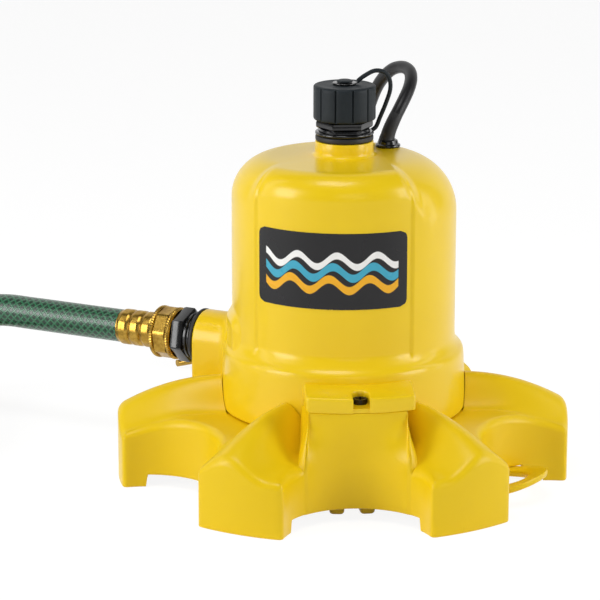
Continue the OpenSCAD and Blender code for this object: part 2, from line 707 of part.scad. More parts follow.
module outlet_adapter() color("#232527") difference() {
    union() {
        translate([0, 0, neck_top_z - socket_depth]) cylinder(r = socket_r, h = socket_depth + gasket_t + 1);
        translate([0, 0, adapter_z]) cylinder(r = adapter_neck_r, h = neck_len);
        translate([0, 0, hex_z]) rotate([0, 0, 62]) intersection() {
            cylinder(r = hex_r, h = hex_h, $fn = 6);
            cylinder(r1 = hex_r - 1.2, r2 = hex_r + hex_h - 1.2, h = hex_h);
        }
        translate([0, 0, thread_z]) cylinder(r = thread_r, h = thread_len);
    }
    translate([0, 0, neck_top_z - socket_depth - 1]) cylinder(r = fitting_bore_r, h = 60);
}

module tether_ring() color("#1b1c1e") translate([0, 0, adapter_z]) ring(ring_r, adapter_neck_r, ring_t);

module cap_tether() color("#1b1c1e")
    tube(smooth_route(tether_route, 2), tether_d / 2, 8, [0.953, 0.303, 0], [-1, 0, 0], [0, 1, 0]);

module tether_eyelet() color("#1b1c1e") translate([0, 0, eyelet_z])
    ring(eyelet_r, button_r + running_gap, eyelet_t);

module cap_washer() color("#3a3a3a") translate([0, 0, washer_z]) ring(washer_r, fitting_bore_r, washer_t);

module outlet_cap() color("#2a2d30") {
    difference() {
        union() {
            translate([0, 0, cap_z]) cylinder(r = cap_r - 0.9, h = cap_len);
            intersection() {
                for (i = [0 : cap_ribs - 1]) rotate([0, 0, i * 360 / cap_ribs + 4])
                    translate([0, -0.41 * 2 * PI * cap_r / cap_ribs, cap_z + 0.6])
                        cube([cap_r, 0.82 * 2 * PI * cap_r / cap_ribs, cap_len - 1.6]);
                translate([0, 0, cap_z]) cylinder(r = cap_r, h = cap_len);
            }
        }
        translate([0, 0, cap_z - 1]) cylinder(r = cap_bore_r, h = cap_bore_top_z - cap_z + 1);
    }
    translate([0, 0, cap_top_z]) cylinder(r = button_r, h = button_head_z - cap_top_z);
    translate([0, 0, button_head_z]) cylinder(r = button_head_r, h = button_head_h);
}

// ---- side outlet and hose ----

module port_gasket() color("#141414") on_port() translate([0, 0, boss_face])
    ring(boss_r + 0.3, socket_r, port_neck_s - boss_face);

module port_adapter() color("#232527") on_port() difference() {
    union() {
        translate([0, 0, boss_face - socket_depth]) cylinder(r = socket_r, h = socket_depth + 5);
        translate([0, 0, port_neck_s]) cylinder(r = adapter_neck_r - 0.8, h = port_hex_s - port_neck_s);
        for (s = [0.6, 2.9]) translate([0, 0, port_neck_s + s]) cylinder(r = adapter_neck_r, h = 1.2);
        translate([0, 0, port_hex_s]) rotate([0, 0, 12]) intersection() {
            cylinder(r = hex_r, h = port_hex_h, $fn = 6);
            cylinder(r1 = hex_r + port_hex_h - 1.2, r2 = hex_r - 1.2, h = port_hex_h);
        }
        translate([0, 0, port_thread_s]) cylinder(r = thread_r, h = port_thread_len);
    }
    translate([0, 0, boss_face - socket_depth - 1]) cylinder(r = fitting_bore_r, h = 60);
}

module hose_washer() color("#303030") on_port() translate([0, 0, hose_washer_s])
    ring(washer_r, fitting_bore_r - 1, washer_t);

module swivel_ring() color("#c9a23c") on_port() translate([0, 0, swivel_s])
    ring(washer_r, tail_neck_r + running_gap, swivel_t);

module hose_nut() color("#c08a2e") on_port() difference() {
    union() {
        translate([0, 0, nut_s]) cylinder(r = nut_r - 1, h = nut_len);
        for (z = [nut_s, nut_end_s - 3.6]) translate([0, 0, z]) cylinder(r = nut_r, h = 3.6);
        translate([0, 0, nut_s]) rotate([0, 0, 10]) cylinder(r = nut_r - 0.2, h = nut_len, $fn = 8);
    }
    translate([0, 0, nut_s - 1]) cylinder(r = nut_bore_r, h = swivel_s + swivel_t + swivel_gap - nut_s + 1);
    translate([0, 0, nut_s]) cylinder(r = tail_neck_r + running_gap, h = 40);
}

module hose_tail() color("#c9973a") on_port() difference() {
    union() {
        translate([0, 0, flange_s]) cylinder(r = washer_r, h = tail_flange_t);
        translate([0, 0, flange_s]) cylinder(r = tail_neck_r, h = ferrule_s - flange_s);
        translate([0, 0, flange_s]) cylinder(r = tail_stem_r, h = hose_s - flange_s);
    }
    translate([0, 0, flange_s - 1]) cylinder(r = tail_bore_r, h = 60);
}

// A ferrule crimped in three bands
module crimped_ferrule(length) difference() {
    union() {
        cylinder(r = ferrule_r - 0.8, h = length);
        for (i = [0 : 2]) translate([0, 0, length * (0.06 + 0.32 * i)])
            cylinder(r = ferrule_r, h = length * 0.19);
    }
    translate([0, 0, -1]) cylinder(r = tail_stem_r, h = length + 2);
}

module hose_ferrule() color("#d1a13f") on_port() translate([0, 0, ferrule_s]) crimped_ferrule(ferrule_len);

module hose() color("#1d6b47")
    tube(smooth_route(hose_route, 2), hose_r, 12, port_dir, hose_end_dir, [0, 0, 1]);

// Children built along +Z lie on the hose's far end, their Z counted from its last point
module on_hose_end() translate(hose_route[len(hose_route) - 1])
    rotate([0, 90, atan2(hose_end_dir[1], hose_end_dir[0])]) children();

module end_ferrule() color("#d1a13f") on_hose_end() crimped_ferrule(end_ferrule_len);

module end_coupling() color("#c9973a") on_hose_end() difference() {
    union() {
        cylinder(r = tail_stem_r, h = end_ferrule_len);
        translate([0, 0, end_ferrule_len]) rotate([0, 0, 22.5])
            cylinder(r = end_collar_r, h = end_collar_len, $fn = 8);
        translate([0, 0, end_ferrule_len + end_collar_len]) cylinder(r = thread_r, h = end_thread_len);
    }
    translate([0, 0, -1]) cylinder(r = tail_bore_r, h = 60);
}

// ---- power cord ----

module cord_gland() color("#111214") translate([gland_xy[0], gland_xy[1], 0]) difference() {
    union() {
        translate([0, 0, dome_z - 3]) cylinder(r = conduit_bore_r, h = 4);
        translate([0, 0, gland_base_z]) cylinder(r = 7.6, h = gland_flange_t);
        translate([0, 0, gland_base_z + gland_flange_t])
            cylinder(r1 = 6.4, r2 = 5.2, h = gland_top_z - gland_base_z - gland_flange_t);
    }
}

module power_cord() color("#1a1a1c")
    tube(smooth_route(cord_route, 2), cord_r, 8, [0, 0, 1], [0, 1, 0], [1, 0, 0]);

// The coil winds in on the floor and out again on top, and climbs in the half turn between
function coil_point(t) = let (half = coil_turns / 2, a = 360 * t,
    r = coil_in_r + coil_pitch * abs(t - half),
    rise = min(max((t - half) * 2 + 0.5, 0), 1))
    [coil_centre[0] + r * cos(a), coil_centre[1] + r * sin(a),
     coil_z + layer_h * rise * rise * (3 - 2 * rise)];
coil_tail = [for (i = [1 : 10]) let (s = i / 10, a = tail_turn * s,
    r = coil_r + (tail_end_r - coil_r) * s * s * (3 - 2 * s))
    [coil_centre[0] + r * cos(a), coil_centre[1] + r * sin(a),
     coil_z + layer_h + (plug_z - coil_z - layer_h) * s]];
coil_path = concat([for (i = [0 : coil_turns * coil_steps]) coil_point(i / coil_steps)], coil_tail);
coil_count = coil_turns * coil_steps;
coil_gap = min([for (i = [0 : coil_count], j = [0 : coil_count])
                if (j - i > coil_steps / 2) norm(coil_path[i] - coil_path[j])]) - cord_d;
echo(coil_gap = coil_gap);

module power_cord_coil() color("#1a1a1c")
    tube(coil_path, cord_r, 6, [0, 1, 0], tail_dir, [0, 0, 1]);

module coil_ties() color("#101010") for (a = [150, 270])
    translate([coil_centre[0], coil_centre[1], 0]) rotate([0, 0, a]) {
        low = coil_in_r - cord_r - 0.8;
        high = coil_r + cord_r + 0.8;
        top = coil_z + layer_h + cord_r + 0.6;
        difference() {
            translate([low - tie_t, -4, 0]) cube([high - low + 2 * tie_t, 8, top + tie_t]);
            translate([low, -5, tie_t]) cube([high - low, 10, top - tie_t]);
        }
    }

module mains_plug() color("#161616")
    translate(plug_at) rotate([0, -90, tail_turn - 90]) {
        cylinder(r1 = cord_r + 1, r2 = 8, h = relief_len);
        translate([-plug_h / 2, -plug_w / 2 + 3, relief_len]) cube([plug_h, plug_w - 6, plug_len - 6]);
        translate([-plug_h / 2 + 1, -plug_w / 2, relief_len + plug_len - 12]) cube([plug_h - 2, plug_w, 12]);
    }

module plug_blades() color("#c4a25a")
    translate(plug_at + tail_dir * (relief_len + plug_len)) rotate([0, -90, tail_turn - 90]) {
        for (y = [-blade_gap / 2, blade_gap / 2]) translate([1 - blade_w / 2, y - blade_t / 2, 0])
            cube([blade_w, blade_t, blade_len]);
        translate([-8, 0, 0]) cylinder(r = ground_r, h = ground_len);
    }

// ---- label ----

module body_label() color("#1d1d1f") translate([0, 0, label_z]) rotate([0, 0, -101 - label_angle / 2])
    rotate_extrude(angle = label_angle) translate([body_r + film_gap, 0]) square([film_t, label_h]);

lower_casing();
upper_housing();
suction_screen();
screen_screws();
pump_chamber();
motor_bracket();
housing_seal();
housing_screws();
motor_can();
motor_top_cap();
upper_bracket();
stator_core();
stator_windings();
run_capacitor();
thermal_protector();
motor_leads();
lower_bearing();
upper_bearing();
shaft_seal();
rotor_shaft();
rotor_core();
impeller();
impeller_nut();
outlet_gasket();
outlet_adapter();
tether_ring();
cap_tether();
tether_eyelet();
cap_washer();
outlet_cap();
port_gasket();
port_adapter();
hose_washer();
swivel_ring();
hose_nut();
hose_tail();
hose_ferrule();
hose();
end_ferrule();
end_coupling();
cord_gland();
power_cord();
power_cord_coil();
coil_ties();
mains_plug();
plug_blades();
body_label();
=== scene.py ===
import math

import bpy
import numpy as np
from mathutils import Matrix, Quaternion, Vector


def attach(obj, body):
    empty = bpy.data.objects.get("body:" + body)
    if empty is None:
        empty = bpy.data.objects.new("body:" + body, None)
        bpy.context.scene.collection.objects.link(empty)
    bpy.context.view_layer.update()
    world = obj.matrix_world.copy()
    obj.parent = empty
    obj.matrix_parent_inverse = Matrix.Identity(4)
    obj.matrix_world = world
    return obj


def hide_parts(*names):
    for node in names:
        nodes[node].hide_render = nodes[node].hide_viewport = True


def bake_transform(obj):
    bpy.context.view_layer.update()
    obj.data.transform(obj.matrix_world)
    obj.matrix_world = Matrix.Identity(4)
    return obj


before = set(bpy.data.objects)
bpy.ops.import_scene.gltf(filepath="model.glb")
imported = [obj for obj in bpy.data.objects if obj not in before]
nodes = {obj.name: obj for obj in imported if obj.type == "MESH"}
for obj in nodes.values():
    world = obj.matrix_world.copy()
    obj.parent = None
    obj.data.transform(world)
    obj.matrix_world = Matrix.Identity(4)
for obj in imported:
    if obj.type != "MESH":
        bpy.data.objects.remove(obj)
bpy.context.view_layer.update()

# ---- camera ----
# A long lens a little above the pump, level with its dome, turned by a third of a degree about
# its own axis.
cam_data = bpy.data.cameras.new("camera")
cam_data.lens, cam_data.sensor_width = 178.4, 36
cam_data.shift_x, cam_data.shift_y = -43.3 / 600, 43.8 / 600
camera = bpy.data.objects.new("camera", cam_data)
bpy.context.scene.collection.objects.link(camera)
camera.location = (-0.1147, -1.7223, 0.5516)
camera.rotation_mode = "QUATERNION"
look = (Vector((0, 0, 0.08)) - camera.location).to_track_quat("-Z", "Y")
camera.rotation_quaternion = look @ Quaternion((0, 0, 1), math.radians(0.30))
bpy.context.scene.camera = camera


# ---- power cord ----
# Three-core lead in a black PVC jacket, extruded with a satin skin. It leaves the gland on the
# dome, loops over, falls down the back of the pump and is wound into a coil behind it.
def linear(hex_code):
    """An sRGB hex colour as the linear RGBA that a shader takes: each channel to the power 2.4
    above the toe, and divided by 12.92 in it."""
    c = np.array([int(hex_code[i:i + 2], 16) / 255 for i in (1, 3, 5)])
    c = np.where(c <= 0.04045, c / 12.92, ((c + 0.055) / 1.055) ** 2.4)
    return (*c.tolist(), 1.0)


def material(name, **sockets):
    """A new material whose Principled shader has its sockets set to constants."""
    made = bpy.data.materials.new(name)
    made.use_nodes = True
    shader = made.node_tree.nodes["Principled BSDF"]
    for key, value in sockets.items():
        shader.inputs[key.replace("_", " ")].default_value = value
    return made


def add(made, kind, inputs=None, **settings):
    """Adds one node to a material, with its settings; an input that is a socket is linked."""
    n = made.node_tree.nodes.new(kind)
    for key, value in settings.items():
        setattr(n, key, value)
    for key, value in (inputs or {}).items():
        if isinstance(value, bpy.types.NodeSocket):
            made.node_tree.links.new(value, n.inputs[key])
        else:
            n.inputs[key].default_value = value
    return n


def feed(made, **sockets):
    """Links outputs to the sockets of a material's Principled shader."""
    shader = made.node_tree.nodes["Principled BSDF"]
    for key, value in sockets.items():
        made.node_tree.links.new(value, shader.inputs[key.replace("_", " ")])
    return made


def mottle(made, scale, detail, tones=None, rough=None, bump=None, grit=0.5):
    """Lays a noise on Object coordinates over a material, scale cells to the metre. With it the
    colour goes between two tones and the roughness between two values, and a bump of a strength
    and a height in metres is added on any bump that is there."""
    where = add(made, "ShaderNodeTexCoord")
    noise = add(made, "ShaderNodeTexNoise", {"Vector": where.outputs["Object"], "Scale": scale,
                                             "Detail": detail, "Roughness": grit}).outputs["Fac"]
    if tones:
        hue = add(made, "ShaderNodeMix", {"Factor": noise, 6: linear(tones[0]), 7: linear(tones[1])},
                  data_type="RGBA")
        feed(made, Base_Color=hue.outputs[2])
    if rough:
        dull = add(made, "ShaderNodeMapRange", {"Value": noise, "To Min": rough[0], "To Max": rough[1]})
        feed(made, Roughness=dull.outputs["Result"])
    if bump:
        relief = {"Height": noise, "Strength": bump[0], "Distance": bump[1]}
        for link in made.node_tree.nodes["Principled BSDF"].inputs["Normal"].links:
            relief["Normal"] = link.from_socket
        feed(made, Normal=add(made, "ShaderNodeBump", relief).outputs["Normal"])
    return noise


def smooth_route(points, steps):
    """Catmull-Rom curve: between two points the cubic whose ends run parallel to the lines that
    join their neighbours."""
    p = np.array(points, float)
    p = np.vstack([p[:1], p, p[-1:]])
    t = np.arange(steps)[None, :, None] / steps
    a, b, c, d = (p[i:len(p) - 3 + i][:, None, :] for i in range(4))
    curve = 0.5 * (2 * b + (c - a) * t + (2 * a - 5 * b + 4 * c - d) * t ** 2
                   + (3 * b - a - 3 * c + d) * t ** 3)
    return np.vstack([curve.reshape(-1, p.shape[1]), p[-2:-1]])


def tube_rings(path, radius, sides, first, last, turn=0.0):
    """Rings around a path: each ring is the radius times the cosine and sine of the angle along
    two directions square to the path, and these are carried along it without twist."""
    d = np.gradient(path, axis=0)
    d[0], d[-1] = first, last
    d /= np.linalg.norm(d, axis=1)[:, None]
    side = np.cross(d[0], [0.3, 0.2, 1.0])
    sides_at = np.empty_like(path)
    for i, along in enumerate(d):
        side = side - along * (side @ along)
        side = side / np.linalg.norm(side)
        sides_at[i] = side
    up = np.cross(d, sides_at)
    angle = np.arange(sides) * 2 * np.pi / sides + turn
    radius = np.broadcast_to(np.asarray(radius, float), (len(path),))[:, None, None]
    return path[:, None, :] + radius * (np.cos(angle)[None, :, None] * sides_at[:, None, :]
                                        + np.sin(angle)[None, :, None] * up[:, None, :])


def skin(name, rings, made, body, slot=None, stands_for=(), shut=True, flat_ends=False,
         uv=None, crease=35.0):
    """A closed mesh from rings of points in millimetres: ring i, point j to ring i + 1, point
    j + 1. The last ring is joined to the first, or each end is shut by a pole or a flat face.
    Faces are turned so that the volume they enclose is positive."""
    n, m = rings.shape[:2]
    points = rings.reshape(-1, 3) / 1000
    i, j = np.meshgrid(np.arange(n if not shut else n - 1), np.arange(m), indexing="ij")
    i, j = i.ravel(), j.ravel()
    i2, j2 = (i + 1) % n, (j + 1) % m
    quads = np.stack([i * m + j, i2 * m + j, i2 * m + j2, i * m + j2], 1)
    corner_uv = None
    if uv is not None:
        u = np.stack([j, j, j + 1, j + 1], 1) / m * uv[0]
        v = np.asarray(uv[1])[np.stack([i, i2, i2, i], 1)]
        corner_uv = np.stack([u, v], 2).reshape(-1, 2)
    faces = quads.tolist()
    if shut and flat_ends:
        faces += [list(range(m)), list(range(n * m - 1, (n - 1) * m - 1, -1))]
    elif shut:
        points = np.vstack([points, rings[0].mean(0) / 1000, rings[-1].mean(0) / 1000])
        k = np.arange(m)
        faces += np.stack([np.full(m, n * m), k, (k + 1) % m], 1).tolist()
        e = (n - 1) * m
        faces += np.stack([np.full(m, n * m + 1), e + (k + 1) % m, e + k], 1).tolist()
    a, b, c = points[quads[:, 0]], points[quads[:, 1]], points[quads[:, 2]]
    d = points[quads[:, 3]]
    volume = (np.cross(a, b) * c).sum() + (np.cross(a, c) * d).sum()
    if shut:
        tri = np.array([[f[0], f[t], f[t + 1]] for f in faces[len(quads):]
                        for t in range(1, len(f) - 1)])
        volume += (np.cross(points[tri[:, 0]], points[tri[:, 1]]) * points[tri[:, 2]]).sum()
    mesh = bpy.data.meshes.new(name)
    mesh.from_pydata(points.tolist(), [], faces)
    if corner_uv is not None:
        layer = mesh.uv_layers.new(name="UVMap")
        flat = np.zeros((len(mesh.loops), 2), np.float32)
        flat[:len(corner_uv)] = corner_uv
        layer.data.foreach_set("uv", flat.ravel())
    if volume < 0:
        mesh.flip_normals()
    mesh.shade_smooth()
    mesh.set_sharp_from_angle(angle=math.radians(crease))
    mesh.materials.append(made)
    piece = bpy.data.objects.new(name, mesh)
    bpy.context.scene.collection.objects.link(piece)
    if body:
        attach(piece, body)
    if stands_for:
        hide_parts(*stands_for)
    return piece


cord_d = 7.7
coil_z = 4.85
coil_r, coil_turns, coil_pitch, coil_y = 57.6, 7, 8.3, 205
cord_route = [
    [26.9, 21, 201], [28.3, 21.2, 206.2], [31, 22.2, 212.3], [34.3, 24.9, 218.1],
    [37.9, 29.8, 223.7], [41.2, 36.8, 228.8], [43.2, 45.2, 233.1], [43, 54.5, 236.1],
    [39.8, 64, 236.9], [34.6, 73.3, 234.2], [29.8, 81.7, 228], [25.7, 89.2, 219.4],
    [22.3, 95, 208.6], [18.9, 98.8, 196], [15.2, 101.2, 179.5], [11.6, 102.6, 161],
    [8.5, 103.4, 141], [6.2, 103.8, 121], [4.9, 104, 101], [4.5, 104.6, 82], [5, 106.4, 64],
    [6.8, 110.4, 47.5], [9.8, 117.2, 32.5], [14, 127.4, 19.5], [20.5, 138.3, 9.8], [30, 150, 5.6],
    [37.4, 158.6, coil_z], [44, 166.4, coil_z], [50, 175, coil_z], [54, 184.5, coil_z],
    [56.7, 194.6, coil_z], [coil_r, coil_y, coil_z]]
turns = np.arange(0, coil_turns * 48 + 1) / 48
coil_at_r = coil_r - coil_pitch * coil_turns / 2 + coil_pitch * np.abs(turns - coil_turns / 2)
climb = np.clip((turns - coil_turns / 2) * 2 + 0.5, 0, 1)
coil = np.stack([coil_at_r * np.cos(2 * np.pi * turns),
                 coil_y + coil_at_r * np.sin(2 * np.pi * turns),
                 coil_z + 8.2 * climb ** 2 * (3 - 2 * climb)], 1)
share = np.arange(1, 21) / 20
tail_angle = np.radians(120) * share
tail_r = coil_r + 13.4 * share ** 2 * (3 - 2 * share)
tail = np.stack([tail_r * np.cos(tail_angle), coil_y + tail_r * np.sin(tail_angle),
                 13.05 - 0.35 * share], 1)
tail_dir = np.array([-math.sin(math.radians(120)), math.cos(math.radians(120)), 0])
cord_path = np.vstack([smooth_route(cord_route, 6)[:-1], coil, tail])
cord_along = np.concatenate([[0], np.linalg.norm(np.diff(cord_path, axis=0), axis=1).cumsum()])

# Satin PVC: a faint orange peel from the extruder, a hand-worn sheen that varies along it.
pvc_jacket = material("satin PVC cord jacket", Base_Color=linear("#111113"), IOR=1.5,
                      Specular_IOR_Level=0.35)
mottle(pvc_jacket, 420.0, 3.0, bump=(0.15, 0.0003))
mottle(pvc_jacket, 60.0, 4.0, rough=(0.30, 0.46))
power_cord = skin("power_cord_jacket", tube_rings(cord_path, cord_d / 2, 20, [0, 0, 1], tail_dir),
                  pvc_jacket, "root", "black_cord", ("power_cord", "power_cord_coil"),
                  uv=(1.0, cord_along / (np.pi * cord_d)))

# ---- mains plug ----
# Three-pin grounded plug moulded onto the lead in black PVC, with a ribbed strain relief, a
# waisted grip and a flat face that carries the brass blades.
plug_s = np.array([0, 0.5, 2, 4, 5, 7, 8, 10, 11, 13, 14, 16, 17, 19, 22, 26, 31, 36, 40, 44, 47, 49.5,
                   51, 51.8, 52])
plug_w = np.array([4.9, 5.1, 5.4, 5.6, 4.9, 5.0, 6.0, 6.1, 5.2, 5.4, 6.7, 6.9, 5.9, 7.6, 9.6, 10.6, 10.8,
                   10.9, 11.6, 12.9, 13.4, 13.5, 13.5, 13.2, 12.6])
plug_h = np.array([4.9, 5.1, 5.4, 5.6, 4.9, 5.0, 6.0, 6.1, 5.2, 5.4, 6.7, 6.9, 5.9, 7.4, 9.2, 10.4, 10.6,
                   10.8, 11.4, 12.1, 12.5, 12.6, 12.6, 12.4, 11.8])
around = np.arange(64) * 2 * np.pi / 64
squareness = np.clip((plug_s - 17) / 10, 0, 1)[:, None]
power = 1 - 0.62 * squareness
cross_w = np.sign(np.cos(around)) * np.abs(np.cos(around)) ** power
cross_h = np.sign(np.sin(around)) * np.abs(np.sin(around)) ** power
plug_side = np.array([-tail_dir[1], tail_dir[0], 0])
plug_rings = (cord_path[-1] + plug_s[:, None, None] * tail_dir
              + (plug_w[:, None] * cross_w)[:, :, None] * plug_side
              + (plug_h[:, None] * cross_h)[:, :, None] * np.array([0, 0, 1.0]))
plug = skin("plug_moulding", plug_rings, pvc_jacket, "root", "black_cord", ("mains_plug",),
            flat_ends=True, crease=50)
# Two flat PVC bands round the wound lead, each a closed loop with rounded corners.
for k, az in enumerate((150, 270)):
    a = math.radians(az)
    low, high, top, corner = 23.9, 62.4, 17.8, 2.0
    q = np.radians(np.linspace(0, 90, 6))
    out = np.concatenate([high - corner + corner * np.cos(q), low + corner - corner * np.sin(q),
                          low + corner - corner * np.cos(q), high - corner + corner * np.sin(q)])
    up = np.concatenate([top - corner + corner * np.sin(q), top - corner + corner * np.cos(q),
                         corner - corner * np.sin(q), corner - corner * np.cos(q)])
    rows = []
    for grow, side in ((0.0, -4.0), (0.0, -2.0), (0.0, 0.0), (0.0, 2.0), (0.0, 4.0),
                       (-0.8, 4.0), (-0.8, 0.0), (-0.8, -4.0)):
        o = 43.15 + (out - 43.15) * (1 + grow / 19.25)
        u = 8.9 + (up - 8.9) * (1 + grow / 8.9)
        rows.append(np.stack([o * math.cos(a) - side * math.sin(a),
                              coil_y + o * math.sin(a) + side * math.cos(a), u], 1))
    skin(f"coil_tie_band_{k + 1}", np.stack(rows), pvc_jacket, "root", "black_plastic",
                     ("coil_ties",), shut=False, crease=50)

# ---- garden hose ----
# A short leader of 3/4 inch garden hose: a clear green PVC skin over a dark tube, with a
# reinforcing braid knitted between them that shows as a lighter lattice.
port_z, hose_end = 72.5, (-237.1, 141.4, 14.6)
hose_route = [
    [-132.504, 76.5, 72.5], [-151.6, 87.5, 72.5], [-172.3, 99.5, 72.5], [-190.5, 110, 72.5],
    [-209, 120.7, 72.1], [-232.7, 134.4, 67.5], [-256.5, 148.1, 58.4], [-280.2, 161.8, 46.3],
    [-304.3, 174.8, 33.4], [-330.6, 182.2, 21.9], [-358, 182.9, 13.7], [-384.6, 176.9, 10.4],
    [-409, 164.4, 10.4], [-429.5, 146.4, 10.4], [-444.9, 123.8, 10.4], [-454.3, 98.1, 10.4],
    [-457.1, 71, 10.4], [-453.1, 43.9, 10.4], [-442.5, 18.7, 10.4], [-426.1, -3.1, 10.4],
    [-404.8, -20.2, 10.4], [-379.9, -31.6, 10.4], [-353, -36.4, 10.4], [-325.7, -34.5, 10.4],
    [-299.8, -25.9, 10.4], [-276.8, -11.1, 10.4], [-258.1, 8.9, 10.6], [-244.9, 32.8, 11.7],
    [-238.1, 59.3, 13.2], [-237.1, 86.6, 14.4], [-237.1, 114, 14.6], hose_end]
hose_d = 20.4
hose_path = smooth_route(hose_route, 6)
hose_along = np.concatenate([[0], np.linalg.norm(np.diff(hose_path, axis=0), axis=1).cumsum()])
# Braided PVC: yarns 2.5 mm apart cross at about a right angle under a glossy green skin.
braided_pvc = material("green PVC hose with braid", IOR=1.5, Roughness=0.32, Coat_Weight=0.35,
                       Coat_Roughness=0.18)
where = add(braided_pvc, "ShaderNodeUVMap", uv_map="UVMap")
split = add(braided_pvc, "ShaderNodeSeparateXYZ", {"Vector": where.outputs["UV"]})
strands = []
for sense in (1.0, -1.0):
    turned_by = add(braided_pvc, "ShaderNodeMath", {0: split.outputs["Y"], 1: 26.0 * sense},
                    operation="MULTIPLY")
    across = add(braided_pvc, "ShaderNodeMath", {0: split.outputs["X"], 1: 26.0,
                                                 2: turned_by.outputs[0]},
                 operation="MULTIPLY_ADD")
    saw = add(braided_pvc, "ShaderNodeMath", {0: across.outputs[0], 1: 1.0}, operation="PINGPONG")
    strands.append(add(braided_pvc, "ShaderNodeMapRange",
                       {"Value": saw.outputs[0], "From Min": 0.50, "From Max": 0.95},
                       interpolation_type="SMOOTHSTEP"))
braid = add(braided_pvc, "ShaderNodeMath", {0: strands[0].outputs["Result"],
                                            1: strands[1].outputs["Result"]},
            operation="MAXIMUM")
yarn = add(braided_pvc, "ShaderNodeMix", {"Factor": braid.outputs[0], 6: linear("#08301c"),
                                          7: linear("#2c6f4b")},
           data_type="RGBA")
bump = add(braided_pvc, "ShaderNodeBump", {"Height": braid.outputs[0], "Strength": 0.5,
                                           "Distance": 0.0004})
feed(braided_pvc, Base_Color=yarn.outputs[2], Normal=bump.outputs["Normal"])
port_dir = np.array([math.sin(math.radians(-120)), -math.cos(math.radians(-120)), 0])
garden_hose = skin("garden_hose", tube_rings(hose_path, hose_d / 2, 40, port_dir, [0, 1, 0]),
                   braided_pvc, "root", "green_hose", ("hose",),
                   uv=(1.0, hose_along / (np.pi * hose_d)))


# ---- hose fittings ----
# Brass: a swivel nut turned from bar with two knurled bands and wrench flats, a thin-walled
# ferrule crimped in three bands at each end of the hose, and a male coupling at the far end.
def turned(profile, count, lobes=None):
    """Rings of a body turned about local Z: each profile point (radius, height) becomes a circle.
    lobes, where given, is a function of angle and height that the radius is multiplied by."""
    r, z = np.array(profile, float).T
    angle = np.arange(count) * 2 * np.pi / count
    radius = r[:, None] * np.ones(count)
    if lobes is not None:
        radius = radius * lobes(angle[None, :], z[:, None])
    return np.stack([radius * np.cos(angle), radius * np.sin(angle), z[:, None] + 0 * radius], 2)


def on_port(local):
    """Local Z to the side outlet's axis: down is local X, sideways is local Y."""
    x, y, z = np.moveaxis(local, 2, 0)
    c, s = math.cos(math.radians(-210)), math.sin(math.radians(-210))
    return np.stack([c * z - s * y, s * z + c * y, port_z - x], 2)


def on_hose_end(local):
    """Local Z to the hose's far end, which points along +Y."""
    x, y, z = np.moveaxis(local, 2, 0)
    return np.stack([hose_end[0] - y, hose_end[1] + z, hose_end[2] - x], 2)


# Turned and crimped brass, handled: warm, a little dull, with darker tarnish in the recesses.
yellow_brass = material("turned yellow brass", Metallic=1.0)
tarnish = mottle(yellow_brass, 260.0, 6.0, rough=(0.38, 0.20), bump=(0.2, 0.0004), grit=0.65)
tone = add(yellow_brass, "ShaderNodeValToRGB", {"Fac": tarnish})
for stop, position, colour in zip(tone.color_ramp.elements, (0.30, 0.62), ("#8f6c28", "#bf9a45")):
    stop.position, stop.color = position, linear(colour)
feed(yellow_brass, Base_Color=tone.outputs["Color"])


def knurls_and_flats(angle, z):
    """The bands at both ends carry 60 fine ridges, cosines of the angle; between them eight
    flats: the radius of an octagon, its half-width over the cosine to the nearest flat."""
    band = (np.abs(z - 119.5) > 4.0) * 1.0
    flat = np.minimum(1.0, 0.945 / np.cos((angle - 0.17) % (np.pi / 4) - np.pi / 8))
    return band * (1 - 0.022 * (0.5 - 0.5 * np.cos(60 * angle))) + (1 - band) * flat


swivel_nut = skin("brass_swivel_nut", on_port(turned(
    [(13.9, 112.0), (15.2, 112.0), (16.0, 112.7), (16.2, 113.4), (16.2, 114.6), (15.7, 115.3),
     (14.4, 115.5),
     (15.9, 115.6), (15.9, 118.5), (15.9, 121.5), (15.9, 123.3), (14.4, 123.5), (15.6, 123.6),
     (16.2, 124.2),
     (16.2, 125.6), (15.8, 126.4), (14.6, 127.0), (9.6, 127.0), (9.6, 126.1), (13.85, 126.1),
     (13.9, 118.0)],
    240, knurls_and_flats)), yellow_brass, "hose_nut", "brass", ("hose_nut",), shut=False)

crimp_t = np.linspace(0, 24.7, 64)
crimp_r = 10.25 + 0.95 * np.clip(1.35 * np.abs(np.sin(np.pi * (crimp_t / 24.7 * 3 + 0.06))) ** 0.8, 0, 1)
crimp_r[0], crimp_r[-1] = 10.3, 10.3
crimp_profile = [(r, t) for r, t in zip(crimp_r, crimp_t)] + [(9.0, 24.7), (9.0, 12.0), (9.0, 0.0)]


def crimp_marks(angle, z):
    """Twelve shallow dents left by the crimping jaws: a cosine of the angle, half deep."""
    return 1 - 0.012 * (0.5 - 0.5 * np.cos(12 * angle)) * (z > 0.5) * (z < 24.2)


crimp = turned(crimp_profile, 120, crimp_marks)
hose_ferrule = skin("crimped_ferrule", on_port(crimp + [0, 0, 128.3]), yellow_brass, "root", "brass",
                    ("hose_ferrule",), shut=False)
end_ferrule = skin("end_crimped_ferrule", on_hose_end(crimp), yellow_brass, "root", "brass",
                   ("end_ferrule",), shut=False)


def octagon_collar(angle, z):
    """Between 24.9 and 31.6 mm the radius is an octagon's; elsewhere a circle's."""
    flat = np.minimum(1.0, 0.93 / np.cos((angle + np.pi / 8) % (np.pi / 4) - np.pi / 8))
    return np.where((z > 24.9) & (z < 31.6), flat, 1.0)


